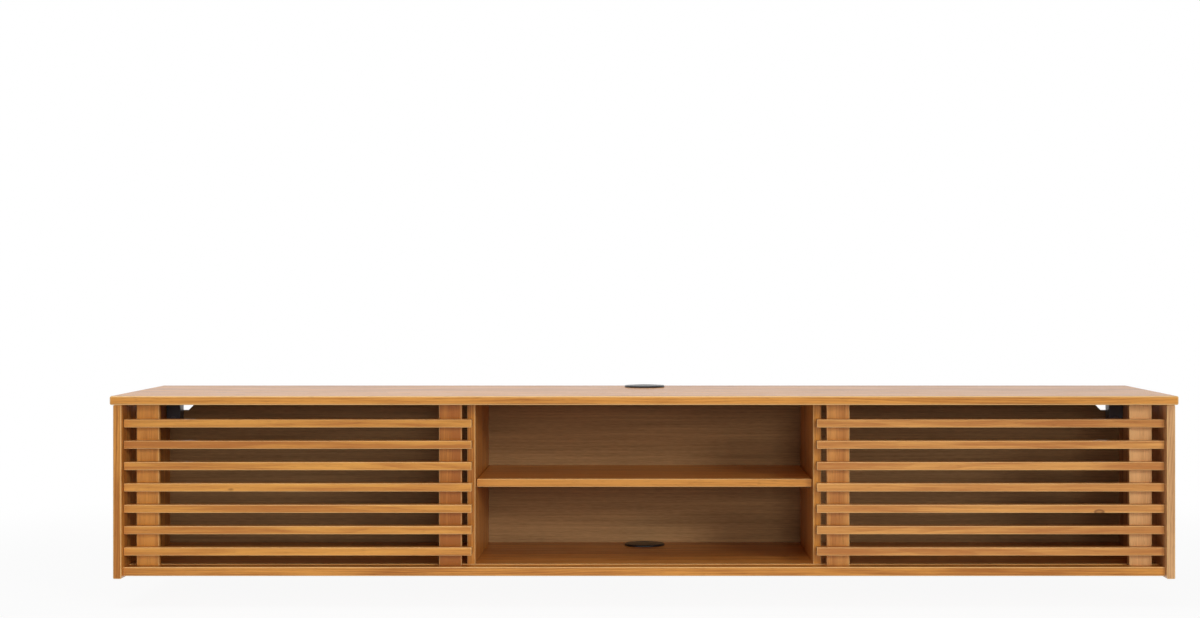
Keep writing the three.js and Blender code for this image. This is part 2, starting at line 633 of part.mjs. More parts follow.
// The hook: a body in the housing, an arm through the back panel's notch and a tip behind the lip
function hangerHook(side) {
  const wallFace = WALL_Y - PLATE_THICKNESS;
  const tipRear = wallFace - HOOK_PLAY;
  const tipFront = wallFace - PLATE_STAND_OFF + HOOK_PLAY;
  const bearingFront = wallFace - PLATE_STAND_OFF - PLATE_THICKNESS - HOOK_PLAY;
  const bearingZ = HOOK_ARM_LOW_Z - HOOK_BEARING_DROP;
  const armTopZ = HOOK_ARM_LOW_Z + HOOK_ARM_HEIGHT;
  const outline = new THREE.Shape();
  outline.moveTo(HOOK_BODY_FRONT_Y, HOOK_BODY_LOW_Z);
  outline.lineTo(HOOK_BODY_REAR_Y, HOOK_BODY_LOW_Z);
  outline.lineTo(HOOK_BODY_REAR_Y, HOOK_ARM_LOW_Z);
  outline.lineTo(bearingFront, HOOK_ARM_LOW_Z);
  outline.lineTo(bearingFront, bearingZ);
  outline.lineTo(tipFront, bearingZ);
  outline.lineTo(tipFront, bearingZ - HOOK_TIP_DROP);
  outline.lineTo(tipRear, bearingZ - HOOK_TIP_DROP);
  outline.lineTo(tipRear, armTopZ);
  outline.lineTo(HOOK_BODY_REAR_Y, armTopZ);
  outline.lineTo(HOOK_BODY_REAR_Y, HOOK_BODY_TOP_Z);
  outline.lineTo(HOOK_BODY_FRONT_Y, HOOK_BODY_TOP_Z);
  const low = side * HANGER_X - HOOK_WIDTH / 2;
  const plate = prism("x", outline, low, low + HOOK_WIDTH);
  const thread = rod(
    "y",
    [DEPTH_SCREW_Z, side * HANGER_X],
    SCREW_RADIUS + FIT,
    HOOK_BODY_FRONT_Y - OVERRUN,
    HOOK_BODY_REAR_Y + OVERRUN,
  );
  return plate.subtract(thread);
}

// The wall plate: a leaf on the wall with a joggled lip that the hook drops over
function wallPlate(side) {
  const leafFront = WALL_Y - PLATE_THICKNESS;
  const lipRear = leafFront - PLATE_STAND_OFF;
  const lipFront = lipRear - PLATE_THICKNESS;
  const lipTop = HOOK_ARM_LOW_Z - HOOK_BEARING_DROP - FIT;
  const lipLow = lipTop - PLATE_LIP_HEIGHT;
  const bendLow = lipLow - PLATE_STAND_OFF;
  const low = lipTop - PLATE_HEIGHT;
  const outline = new THREE.Shape();
  outline.moveTo(leafFront, low);
  outline.lineTo(WALL_Y, low);
  outline.lineTo(WALL_Y, bendLow);
  outline.lineTo(lipRear, lipLow);
  outline.lineTo(lipRear, lipTop);
  outline.lineTo(lipFront, lipTop);
  outline.lineTo(lipFront, lipLow);
  outline.lineTo(leafFront, bendLow);
  const outerX = END_INNER_X - PLATE_END_GAP;
  const [x0, x1] = mirrored(side, outerX - PLATE_WIDTH, outerX);
  const plate = prism("x", outline, x0, x1);
  const holes = [-1, 1].map((way) => rod(
    "y",
    [low + PLATE_HOLE_RISE, (x0 + x1) / 2 + way * PLATE_HOLE_SPACING / 2],
    PLATE_HOLE_RADIUS,
    leafFront - OVERRUN,
    WALL_Y + OVERRUN,
  ));
  return cutAll(plate, holes);
}

function hanger(sideName, side) {
  const group = new THREE.Group();
  group.add(piece(`${sideName}_hanger_housing`, hangerHousing(side), BLACK_PLASTIC));
  group.add(piece(`${sideName}_hanger_hook`, hangerHook(side), STEEL));
  group.add(piece(`${sideName}_hanger_depth_screw`, hangerScrew(side, DEPTH_SCREW_Z), STEEL));
  group.add(piece(`${sideName}_hanger_height_screw`, hangerScrew(side, HEIGHT_SCREW_Z), STEEL));
  group.add(piece(`${sideName}_wall_plate`, wallPlate(side), STEEL));
  return group;
}

const mediaConsole = new THREE.Group();
mediaConsole.add(carcass());
mediaConsole.add(grommet("top", HEIGHT));
mediaConsole.add(grommet("bottom", FLOOR_Z));
for (const [sideName, side] of Object.entries(SIDES)) {
  mediaConsole.add(door(sideName, side));
  mediaConsole.add(hanger(sideName, side));
}

export default mediaConsole;
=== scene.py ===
import json
import logging
import math
from dataclasses import dataclass, field
from enum import Enum
from typing import Any, Iterable, Sequence

import bmesh
import bpy
import numpy as np
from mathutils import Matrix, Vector


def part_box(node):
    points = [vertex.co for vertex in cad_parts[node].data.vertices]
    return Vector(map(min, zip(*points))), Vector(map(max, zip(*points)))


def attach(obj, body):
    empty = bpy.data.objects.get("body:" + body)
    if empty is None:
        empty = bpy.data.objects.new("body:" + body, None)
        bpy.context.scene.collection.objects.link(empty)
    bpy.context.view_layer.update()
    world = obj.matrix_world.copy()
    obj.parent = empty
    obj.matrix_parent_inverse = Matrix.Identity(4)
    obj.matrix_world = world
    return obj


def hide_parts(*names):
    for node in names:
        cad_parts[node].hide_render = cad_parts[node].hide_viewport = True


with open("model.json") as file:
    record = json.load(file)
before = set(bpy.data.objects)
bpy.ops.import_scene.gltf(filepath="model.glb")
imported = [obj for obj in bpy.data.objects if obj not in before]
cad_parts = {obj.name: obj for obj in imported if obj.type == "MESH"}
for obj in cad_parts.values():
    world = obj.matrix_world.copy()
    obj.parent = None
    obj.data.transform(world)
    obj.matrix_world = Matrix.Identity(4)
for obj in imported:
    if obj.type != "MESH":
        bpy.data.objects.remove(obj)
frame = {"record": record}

LOG = logging.getLogger("media_console")

Array = np.ndarray
Surface = tuple[Array, list[list[int]]]
Piece = bpy.types.Object
Scale = tuple[float, ...]
Span = tuple[float, float]
Triple = tuple[float, float, float]

MM = 0.001
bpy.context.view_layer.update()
LOG_SEED = 11

# The running fit between pieces, how far a hole is deeper than its rod, how far a cutting tool runs
# past what it cuts, how near two points are to be one, and how much a pressed edge is broken
FIT = 0.3 * MM
HOLE_PLAY = 0.5 * MM
OVERRUN = 2 * MM
WELD = 1e-6
EDGE_BREAK = 0.3 * MM

# Sizes that two sub-assemblies share: the grommets' holes and the studs of the hangers' housings
GROMMET_HOLE_RADIUS = 30 * MM
STUD_RADIUS = 5 * MM
STUD_INSET = 12 * MM

# Edges that turn less than the first angle, in degrees, are shaded round. The bevel of a pressed or
# moulded piece takes those that turn more than the second
SMOOTH_ANGLE = 34.0
BEVEL_ANGLE = 40.0
BEVEL_STEPS = 2

# The sides of the rods' holes, and of the large round pieces
ROD_SIDES = 32
ROUND_SIDES = 96

X, Y, Z = 0, 1, 2
FULL_TURN = 2 * math.pi
SIDES = {"left": -1, "right": 1}
LEVELS = ("top", "bottom")
ENDS = ("front", "rear")
BODY_OF = {
    node: body for body, nodes in frame["record"]["behaviour"]["bodies"].items() for node in nodes
}


class Grain(Enum):
    """The axis that a board's grain follows, then the axes across its face and through it."""

    ALONG_WIDTH = (X, Y, Z)
    ALONG_BAR = (X, Z, Y)
    UPRIGHT_FRONT = (Z, X, Y)
    UPRIGHT_SIDE = (Z, Y, X)


class Change(Enum):
    """What a tool does to a piece."""

    CUT = "DIFFERENCE"
    JOIN = "UNION"


def srgb(code: str) -> tuple[float, float, float, float]:
    """A colour written as on a screen, as the linear values that shaders use.

    Formula: each channel c becomes ((c + 0.055) / 1.055) to the power 2.4, or c / 12.92 where dark.

    Args:
        code: Six hexadecimal digits after a hash sign.

    Returns:
        Red, green, blue and an alpha of 1.
    """
    screen = np.array([int(code[start:start + 2], 16) for start in (1, 3, 5)]) / 255
    linear = np.where(screen > 0.04045, ((screen + 0.055) / 1.055) ** 2.4, screen / 12.92)
    return (*map(float, linear), 1.0)


class Value:
    """One output of a shader node, which Python arithmetic turns into Math nodes."""

    def __init__(self, shader: "Shader", socket: bpy.types.NodeSocket) -> None:
        """Wraps a socket of a shader's node tree."""
        self.shader = shader
        self.socket = socket

    def __add__(self, other: "Value | float") -> "Value":
        """The sum."""
        return self.shader.maths("ADD", self, other)

    def __sub__(self, other: "Value | float") -> "Value":
        """The difference."""
        return self.shader.maths("SUBTRACT", self, other)

    def __rsub__(self, other: float) -> "Value":
        """A number less this value."""
        return self.shader.maths("SUBTRACT", other, self)

    def __mul__(self, other: "Value | float") -> "Value":
        """The product."""
        return self.shader.maths("MULTIPLY", self, other)

    def __truediv__(self, other: "Value | float") -> "Value":
        """The quotient."""
        return self.shader.maths("DIVIDE", self, other)

    __radd__ = __add__
    __rmul__ = __mul__

    def swing(self, width: float) -> "Value":
        """A value from 0 to 1 as a swing about 0 that is as wide as given."""
        return width * (self - 0.5)


class Shader:
    """The node tree of a material or of the world, written as expressions."""

    def __init__(self, owner: bpy.types.Material | bpy.types.World) -> None:
        """Empties the owner's node tree.

        Args:
            owner: The material or the world.
        """
        owner.use_nodes = True
        self.tree = owner.node_tree
        self.tree.nodes.clear()

    def add(
        self,
        kind: str,
        settings: dict[str, Any] | None = None,
        inputs: dict[str | int, Any] | None = None,
        output: str | int = 0,
    ) -> Value:
        """Adds a node, sets it and then fills its sockets.

        Args:
            kind: The node's type, without the ShaderNode in front of it.
            settings: The node's own settings.
            inputs: A value or a link for each socket, by name or number.
            output: The socket that is handed back.

        Returns:
            The output as a value.
        """
        node = self.tree.nodes.new(f"ShaderNode{kind}")
        for name, setting in (settings or {}).items():
            setattr(node, name, setting)
        for name, value in (inputs or {}).items():
            if isinstance(value, Value):
                self.tree.links.new(value.socket, node.inputs[name])
            else:
                node.inputs[name].default_value = value
        return Value(self, node.outputs[output] if len(node.outputs) else None)

    def maths(self, operation: str, first: Value | float, second: Value | float = 0.0) -> Value:
        """One Math node on two numbers or values."""
        return self.add("Math", {"operation": operation}, {0: first, 1: second})

    def place(self) -> Value:
        """The place on the object, in metres."""
        return self.add("TexCoord", output="Object")

    def attribute(self, name: str, output: str) -> Value:
        """An attribute of the mesh."""
        return self.add("Attribute", {"attribute_name": name}, output=output)

    def scaled(self, vector: Value, scale: Scale) -> Value:
        """A vector times one number, or times a number for each of its components."""
        factors = scale * (3 // len(scale))
        return self.add("VectorMath", {"operation": "MULTIPLY"}, {0: vector, 1: factors})

    def parts(self, vector: Value) -> tuple[Value, Value, Value]:
        """The three components of a vector."""
        x, y, z = self.add("SeparateXYZ", {}, {"Vector": vector}).socket.node.outputs
        return Value(self, x), Value(self, y), Value(self, z)

    def joined(self, x: Value | float, y: Value | float, z: Value | float) -> Value:
        """A vector from its three components."""
        return self.add("CombineXYZ", {}, {"X": x, "Y": y, "Z": z})

    def noise(self, vector: Value, detail: float = 2.0) -> Value:
        """Fractal noise of unit scale, from 0 to 1."""
        return self.add("TexNoise", {}, {"Vector": vector, "Scale": 1.0, "Detail": detail})

    def step(self, value: Value, edges: Span) -> Value:
        """A smooth step from 0 at the lower edge to 1 at the upper one."""
        inputs = {"Value": value, "From Min": edges[0], "From Max": edges[1]}
        return self.add("MapRange", {"interpolation_type": "SMOOTHSTEP"}, inputs)

    def blend(self, first: Value | str, second: str, share: Value | float) -> Value:
        """A mix of two colours, all of the second where the share is 1.

        Args:
            first: The first colour, as a value or as it is written on a screen.
            second: The second colour, as it is written on a screen.
            share: The second colour's share.

        Returns:
            The colour.
        """
        ground = first if isinstance(first, Value) else srgb(first)
        inputs = {0: share, 6: ground, 7: srgb(second)}
        return self.add("Mix", {"data_type": "RGBA"}, inputs, output=2)

    def bump(self, height: Value, depth: float) -> Value:
        """The normal of a relief as deep as given where the height goes from 0 to 1."""
        return self.add("Bump", {}, {"Height": height, "Distance": depth, "Strength": 1.0})

    def surface(self, **sockets: Any) -> None:
        """Ends a material in one principled shader with the given sockets.

        Args:
            sockets: Values, links and constants by socket name, with _ for each space.
        """
        inputs = {name.replace("_", " "): value for name, value in sockets.items()}
        body = self.add("BsdfPrincipled", {}, inputs)
        self.add("OutputMaterial", {}, {"Surface": body})


@dataclass(frozen=True)
class Layer:
    """Fractal noise with a scale for each axis, and its shares in a finish.

    Where it has edges, a smooth step between them makes it crisp.
    """

    scale: Scale
    detail: float = 2.0
    edges: Span | None = None
    colour: float = 0.0
    roughness: float = 0.0
    relief: float = 0.0

    def paint(self, shader: Shader, place: Value) -> Value:
        """The noise at a place, from 0 to 1."""
        noise = shader.noise(shader.scaled(place, self.scale), self.detail)
        return shader.step(noise, self.edges) if self.edges else noise


def mixed(layers: Sequence[Layer], shader: Shader, place: Value) -> tuple[Value, Value, Value]:
    """What layers of noise add to a finish.

    Formula: each layer swings by its share about 0, and the swings are added up.

    Args:
        layers: The layers.
        shader: The node tree that they are painted in.
        place: Where the noise is read.

    Returns:
        What they add to the depth of colour, to the roughness and to the relief.
    """
    noises = [(layer, layer.paint(shader, place)) for layer in layers]
    colour = sum(noise.swing(layer.colour) for layer, noise in noises if layer.colour)
    roughness = sum(noise.swing(layer.roughness) for layer, noise in noises if layer.roughness)
    relief = sum(noise.swing(layer.relief) for layer, noise in noises if layer.relief)
    return colour, roughness, relief


def figured(streak: float = 0.3) -> tuple[Layer, ...]:
    """The fine grain, the fibres, the streaks and the clouds of a wood.

    Args:
        streak: The streaks' share in the colour.

    Returns:
        The layers.
    """
    return (
        Layer((26.0, 1700.0, 1700.0), 1.0, (0.35, 0.65), colour=0.16),
        Layer((11.0, 620.0, 620.0), 2.0, (0.3, 0.7), colour=0.2, roughness=0.12, relief=0.5),
        Layer((6.5, 210.0, 210.0), 3.0, (0.32, 0.68), colour=streak),
        Layer((4.2, 42.0, 42.0), 2.0, (0.3, 0.7), colour=0.42),
    )


@dataclass(frozen=True)
class Finish:
    """What a surface is finished in. Each kind paints its own nodes."""

    name: str
    slot: str

    def paint(self, shader: Shader) -> None:
        """Writes the finish as shader nodes."""
        raise NotImplementedError

    def material(self) -> bpy.types.Material:
        """The finish's material, made the first time that a piece asks for it.

        Returns:
            The material.
        """
        known = bpy.data.materials.get(self.name)
        if known is not None:
            return known
        material = bpy.data.materials.new(self.name)
        self.paint(Shader(material))
        return material


@dataclass(frozen=True)
class Wood(Finish):
    """Lacquered solid wood cut from a log: rings, fibres, pores and a few small knots.

    The grain attribute holds each point's place in its board: along the grain, across the face
    and through the thickness, in metres from a point of its own log. The tone attribute says how
    deep the board's colour is, and the arris attribute is 1 on a rounded edge, where a pale painted
    highlight is blended into the colour.
    """

    pale: str
    deep: str
    pore: str
    # The colour of the painted highlight on the rounded edges
    arris_highlight: str = "#ffd894"
    ring_spacing: float = 4.2 * MM
    ring_rise: Span = (0.15, 0.85)
    ring_fall: Span = (0.9, 1.0)
    wander_scale: Span = (1.3, 4.0)
    wander_slice: float = 2.7
    wander_reach: float = 70 * MM
    drift_scale: Span = (0.9, 4.0)
    drift_slice: float = 5.1
    drift_reach: float = 60 * MM
    ripple: Layer = Layer((7.0, 90.0, 90.0))
    ripple_share: float = 1.1
    stave_width: float = 0.0
    stave_shift: Scale = (7.0, 90 * MM, 40 * MM)
    stave_tone: float = 1.1
    layers: tuple[Layer, ...] = figured()
    pores: Layer = Layer((60.0, 1500.0, 1500.0), 1.0, (0.6, 0.74))
    knot_scale: Scale = (7.0, 15.0, 15.0)
    knot_edge: Span = (0.05, 0.075)
    knot_heart: Span = (0.015, 0.045)
    heart_share: float = 0.55
    ring_share: float = 0.26
    tone_share: float = 0.3
    # How much of the painted highlight colour lies on a rounded edge
    arris_highlight_share: float = 0.9
    pore_share: float = 0.32
    knot_share: float = 0.75
    roughness: float = 0.36
    pore_roughness: float = 0.1
    pore_relief: float = 0.7
    relief_depth: float = 0.05 * MM
    specular: float = 0.3
    coat: float = 0.2
    coat_roughness: float = 0.22

    def paint(self, shader: Shader) -> None:
        """Writes the finish as shader nodes.

        Args:
            shader: The node tree of its material.
        """
        log, tone = shader.attribute("grain", "Vector"), shader.attribute("tone", "Fac")
        if self.stave_width:
            log, tone = self._staves(shader, log, tone)
        colour, roughness, relief = mixed(self.layers, shader, log)
        rings = self._rings(shader, log)
        depth = 0.5 + colour + rings.swing(self.ring_share) + self.tone_share * tone
        ground = shader.blend(self.pale, self.deep, shader.step(depth, (0.0, 1.0)))
        # Painted highlight: the pale colour is blended onto the rounded edges, whatever the light
        highlighted = shader.blend(ground, self.arris_highlight, shader.attribute("arris", "Fac") * self.arris_highlight_share)
        pores = self.pores.paint(shader, log)
        knots = self._knots(shader, log)
        shade = shader.maths("MAXIMUM", pores * self.pore_share, knots * self.knot_share)
        shader.surface(
            Base_Color=shader.blend(highlighted, self.pore, shade),
            Roughness=self.roughness + roughness + self.pore_roughness * pores,
            Specular_IOR_Level=self.specular,
            Coat_Weight=self.coat,
            Coat_Roughness=self.coat_roughness,
            Normal=shader.bump(relief - pores * self.pore_relief, self.relief_depth),
        )

    def _staves(self, shader: Shader, grain: Value, tone: Value) -> tuple[Value, Value]:
        """Moves each glued stave to a place of its own in the log, with a tone of its own.

        Formula: a stave's number is its place across over its width, rounded down, and draws three
        shares, which move it along, aside and into the log.

        Args:
            shader: The node tree.
            grain: The place in the board.
            tone: The board's tone.

        Returns:
            The place in the log and the stave's tone.
        """
        along, across, through = shader.parts(grain)
        number = shader.maths("FLOOR", across / self.stave_width)
        draw = shader.add("TexWhiteNoise", {"noise_dimensions": "1D"}, {"W": number}, output="Color")
        first, second, third = shader.parts(draw)
        place = across - (number + 0.5) * self.stave_width
        far, aside, deep = self.stave_shift
        log = shader.joined(along + far * first, place + second.swing(aside), through + deep * third)
        return log, tone + first.swing(self.stave_tone)

    def _rings(self, shader: Shader, log: Value) -> Value:
        """Growth rings, 0 in the pale early wood and 1 in the dark late wood.

        Formula: the distance from a pith line that wanders along the board, over the spacing of
        the rings; its fraction rises slowly to the dark wood and falls at once.

        Args:
            shader: The node tree.
            log: The place in the log.

        Returns:
            How dark the ring is.
        """
        along, across, through = shader.parts(log)
        slow, wide = self.wander_scale
        wander = shader.noise(shader.joined(along * slow, across * wide, self.wander_slice))
        slow, wide = self.drift_scale
        drift = shader.noise(shader.joined(along * slow, self.drift_slice, through * wide))
        aside = across + wander.swing(self.wander_reach)
        above = through + drift.swing(self.drift_reach)
        radius = shader.maths("SQRT", aside * aside + above * above)
        ripple = self.ripple.paint(shader, log)
        part = shader.maths("FRACT", radius / self.ring_spacing + self.ripple_share * ripple)
        return shader.step(part, self.ring_rise) * (1 - shader.step(part, self.ring_fall))

    def _knots(self, shader: Shader, log: Value) -> Value:
        """Sparse small knots with a dark rim round a paler heart.

        Formula: a knot lies within a small distance of the middle of a cell, and its heart within a
        smaller one.

        Args:
            shader: The node tree.
            log: The place in the log.

        Returns:
            How much of the dark colour shows.
        """
        cells = shader.scaled(log, self.knot_scale)
        inputs = {"Vector": cells, "Scale": 1.0}
        near = shader.add("TexVoronoi", {"feature": "F1"}, inputs, output="Distance")
        rim = self.heart_share + (1 - self.heart_share) * shader.step(near, self.knot_heart)
        return (1 - shader.step(near, self.knot_edge)) * rim


@dataclass(frozen=True)
class Grained(Finish):
    """A surface between two colours, with a grain of layers of noise."""

    ground: str
    shade: str
    roughness: float
    relief_depth: float
    layers: tuple[Layer, ...]
    colour_edges: Span | None = (0.2, 0.8)
    follows_board: bool = False
    metallic: float = 0.0
    specular: float = 0.5

    def paint(self, shader: Shader) -> None:
        """Writes the finish as shader nodes.

        Args:
            shader: The node tree of its material.
        """
        place = shader.attribute("grain", "Vector") if self.follows_board else shader.place()
        colour, roughness, relief = mixed(self.layers, shader, place)
        depth = 0.5 + colour
        share = shader.step(depth, self.colour_edges) if self.colour_edges else depth
        shader.surface(
            Base_Color=shader.blend(self.ground, self.shade, share),
            Metallic=self.metallic,
            Roughness=self.roughness + roughness,
            Specular_IOR_Level=self.specular,
            Normal=shader.bump(relief, self.relief_depth),
        )


# Lacquered wood: glued staves in the boards, and one piece in each slat and stile
STAVE_WIDTH = 64 * MM
PANEL_WOOD = Wood(
    "panel_wood", "honey_wood", "#e29c48", "#ab6726", "#6a3a14", stave_width=STAVE_WIDTH
)
# A paler, greyer copy of the panel wood for the right end panel, which faces the light from the right:
# partly a paler board and partly painted sheen
PALE_SHEENED_WOOD = Wood(
    "pale_sheened_panel_wood", "honey_wood", "#e4b27b", "#b88456", "#6e3f1a", stave_width=STAVE_WIDTH
)
SLAT_WOOD = Wood(
    "door_timber", "slat_wood", "#e9a64f", "#b97332", "#6e3d16", ring_share=0.2, layers=figured(0.2)
)
LIGHT_SLAT_WOOD = Wood(
    "light_door_timber", "slat_wood", "#e7a75a", "#ba763a", "#6e3d16", ring_share=0.2, layers=figured(0.2)
)
# A paler copy of the door timber for the right door's outer stile: partly a paler board and partly
# painted sheen from the light on the right
PALE_SHEENED_SLAT_WOOD = Wood(
    "pale_sheened_door_timber", "slat_wood", "#f2bf80", "#ca9158", "#6e3d16", ring_share=0.1, layers=figured(0.12)
)
END_WOODS = {"left": PANEL_WOOD, "right": PALE_SHEENED_WOOD}
DOOR_WOODS = {"left": SLAT_WOOD, "right": LIGHT_SLAT_WOOD}
STILE_WOODS = {"right_door_outer_stile": PALE_SHEENED_SLAT_WOOD}

# A thin matt panel in brown wood, with bands, streaks and flecks along its width
BACK_FINISH = Grained(
    "brown_panel", "brown_wood", "#bd9465", "#876744", 0.62, 0.03 * MM,
    (
        Layer((1.6, 24.0, 1.0), 3.0, colour=0.7),
        Layer((5.0, 260.0, 1.0), 3.0, colour=0.6, roughness=0.1, relief=1.0),
        Layer((60.0, 900.0, 1.0), 1.0, colour=0.5, relief=0.5),
    ),
    colour_edges=(0.1, 0.9), follows_board=True, specular=0.25,
)

# Pale unlacquered wood of the dowels
DOWEL_FINISH = Grained(
    "bare_dowel_wood", "dowel_wood", "#dcc092", "#bd9660", 0.7, 0.04 * MM,
    (Layer((30.0, 900.0, 900.0), 3.0, colour=1.0, roughness=0.1, relief=1.0),),
    follows_board=True,
)

# Moulded plastic with the fine grain of a spark-eroded tool
MOULDED_DEPTH = 0.02 * MM
MOULDED = (
    Layer((2000.0,), roughness=0.12, relief=1.0),
    Layer((40.0,), colour=1.0, roughness=0.08),
)
GROMMET_PLASTIC = Grained(
    "grommet_moulding", "black_plastic", "#141518", "#1b1c20", 0.34, MOULDED_DEPTH, MOULDED
)
HANGER_PLASTIC = Grained(
    "hanger_moulding", "black_plastic", "#54575e", "#5f6269", 0.42, MOULDED_DEPTH, MOULDED
)
NYLON = Grained("moulded_nylon", "white_nylon", "#e3dfd4", "#efece3", 0.5, MOULDED_DEPTH, MOULDED)

# Bright zinc-plated pressed steel, drawn along its height, with a faint spangle
STEEL = Grained(
    "zinc_plating", "zinc_steel", "#85888d", "#63666b", 0.3, 0.01 * MM,
    (
        Layer((1500.0, 1500.0, 60.0), roughness=0.16, relief=1.0),
        Layer((120.0,), colour=1.0, roughness=0.1),
    ),
    colour_edges=None, metallic=1.0,
)

# How deep the colour of each wooden piece is, mostly from -1, pale, to 1, deep: the slats from the
# top one down
TOP_TONE, BOTTOM_TONE, SHELF_TONE, BACK_TONE = 0.0, 0.6, -0.65, 0.0
END_TONES = {"left": 0.5, "right": 0.0}
DIVIDER_TONES = {"left": 0.6, "right": 0.1}
SLAT_TONES = {
    "left": (-0.2, 0.7, 0.0, -0.1, 0.3, 0.2, -0.3),
    "right": (0.5, 0.2, 0.4, 0.2, 0.3, 0.3, 0.6),
}
STILE_TONES = {
    "left_door_outer_stile": -1.0,
    "left_door_inner_stile": 1.2,
    "right_door_inner_stile": -0.6,
    "right_door_outer_stile": -0.8,
}


@dataclass(frozen=True)
class Box:
    """A block of space with its edges along the axes."""

    low: Array
    high: Array

    @classmethod
    def of(cls, node: str) -> "Box":
        """The box of a frame node at rest."""
        low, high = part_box(node)
        return cls(np.array(low), np.array(high))

    @property
    def size(self) -> Array:
        """The lengths of the sides."""
        return self.high - self.low

    @property
    def centre(self) -> Array:
        """The middle point."""
        return (self.low + self.high) / 2

    @property
    def rod_in_it(self) -> tuple[int, float]:
        """The axis and the radius of a round rod that fills the box."""
        return int(np.argmax(self.size)), float(self.size.min()) / 2

    def grown(self, reach: float) -> "Box":
        """The box with each face moved out by the reach."""
        return Box(self.low - reach, self.high + reach)

    def stretched(self, axis: int, low: float | None = None, high: float | None = None) -> "Box":
        """The box with its lower or upper face on one axis put at a given place.

        Args:
            axis: The axis.
            low: Where the lower face goes, or none to leave it.
            high: Where the upper face goes, or none to leave it.

        Returns:
            The new box.
        """
        lows, highs = self.low.copy(), self.high.copy()
        if low is not None:
            lows[axis] = low
        if high is not None:
            highs[axis] = high
        return Box(lows, highs)


@dataclass(frozen=True)
class Arris:
    """A rounded edge: its radius and the faces in its quarter turn."""

    radius: float
    steps: int = 5


SQUARE = Arris(0.0, 1)


def stud_heights(housing: Box) -> Span:
    """The heights of the two studs that hold a hanger's housing to its end panel."""
    return housing.low[Z] + STUD_INSET, housing.high[Z] - STUD_INSET


def made(name: str, surface: Surface) -> Piece:
    """Puts a surface into a mesh, welds its seams and turns its faces outwards.

    Args:
        name: The new object's name.
        surface: The points and the faces.

    Returns:
        The new object at the origin.
    """
    points, faces = surface
    mesh = bpy.data.meshes.new(name)
    mesh.from_pydata(points.tolist(), [], faces)
    work = bmesh.new()
    work.from_mesh(mesh)
    bmesh.ops.remove_doubles(work, verts=work.verts, dist=WELD)
    bmesh.ops.dissolve_degenerate(work, edges=work.edges, dist=WELD)
    bmesh.ops.recalc_face_normals(work, faces=work.faces)
    work.to_mesh(mesh)
    work.free()
    piece = bpy.data.objects.new(name, mesh)
    bpy.context.scene.collection.objects.link(piece)
    return piece


def lattice(rows: int, columns: int, closed: bool = False) -> list[list[int]]:
    """The faces between the rows of a grid of points, each of which is a ring.

    Args:
        rows: Rows of points.
        columns: Points in a row.
        closed: Whether the last row meets the first.

    Returns:
        Four point numbers for each face.
    """
    down = np.arange(rows if closed else rows - 1)[:, None]
    along = np.arange(columns)[None, :]
    next_down = (down + 1) % rows
    next_along = (along + 1) % columns
    corners = np.stack(
        [
            down * columns + along,
            down * columns + next_along,
            next_down * columns + next_along,
            next_down * columns + along,
        ],
        axis=-1,
    )
    return corners.reshape(-1, 4).tolist()


def eased_block(box: Box, arris: Arris) -> Surface:
    """A block whose twelve arrises are rounded.

    Formula: at latitude phi the plan outline is the block drawn in by r (1 - cos phi) with corners
    of radius r cos phi, and it lies r sin phi past the plane where the arris springs.

    Args:
        box: The block.
        arris: Its rounded edges.

    Returns:
        The surface.
    """
    radius, steps = arris.radius, arris.steps
    core_low, core_high = box.low + radius, box.high - radius
    quarter = np.linspace(0, math.pi / 2, steps + 1)
    turns = (np.arange(4)[:, None] * math.pi / 2 + quarter).ravel()
    middle = np.repeat(np.arange(4) * math.pi / 2 + math.pi / 4, steps + 1)
    corner_x = np.where(np.cos(middle) > 0, core_high[X], core_low[X])
    corner_y = np.where(np.sin(middle) > 0, core_high[Y], core_low[Y])
    latitudes = np.concatenate([quarter - math.pi / 2, quarter])[:, None]
    springing = np.repeat([core_low[Z], core_high[Z]], steps + 1)[:, None]
    reach = radius * np.cos(latitudes)
    points = np.stack(
        [
            corner_x + reach * np.cos(turns),
            corner_y + reach * np.sin(turns),
            springing + radius * np.sin(latitudes) + 0 * turns,
        ],
        axis=-1,
    )
    rows, columns = points.shape[:2]
    faces = lattice(rows, columns)
    corners = np.arange(4) * (steps + 1)
    faces.append(corners[::-1].tolist())
    faces.append((corners + (rows - 1) * columns).tolist())
    return points.reshape(-1, 3), faces


def filleted(points: Sequence[Triple], steps: int = 5) -> Array:
    """A closed outline with its corners rounded.

    Formula: the arc of radius r at a corner of angle a springs r / tan(a / 2) from it, about a
    centre r / sin(a / 2) along the bisector.

    Args:
        points: Each corner's two coordinates and its radius.
        steps: Faces in each arc.

    Returns:
        The outline's points in order.
    """
    table = np.array(points, float)
    corner, radius = table[:, :2], table[:, 2:]
    before = np.roll(corner, 1, axis=0) - corner
    after = np.roll(corner, -1, axis=0) - corner
    before /= np.linalg.norm(before, axis=1, keepdims=True)
    after /= np.linalg.norm(after, axis=1, keepdims=True)
    half = np.arccos(np.clip((before * after).sum(axis=1, keepdims=True), -1, 1)) / 2
    bisector = before + after
    length = np.linalg.norm(bisector, axis=1, keepdims=True)
    bisector = bisector / np.where(length > 0, length, 1)
    centre = corner + bisector * radius / np.sin(half)
    start = corner + before * radius / np.tan(half) - centre
    end = corner + after * radius / np.tan(half) - centre
    first = np.arctan2(start[:, 1], start[:, 0])[:, None]
    sweep = np.arctan2(end[:, 1], end[:, 0])[:, None] - first
    sweep = (sweep + math.pi) % FULL_TURN - math.pi
    angles = first + sweep * np.linspace(0, 1, steps + 1)
    arcs = np.stack([np.cos(angles), np.sin(angles)], axis=-1) * radius[:, None, :]
    return (centre[:, None, :] + arcs).reshape(-1, 2)


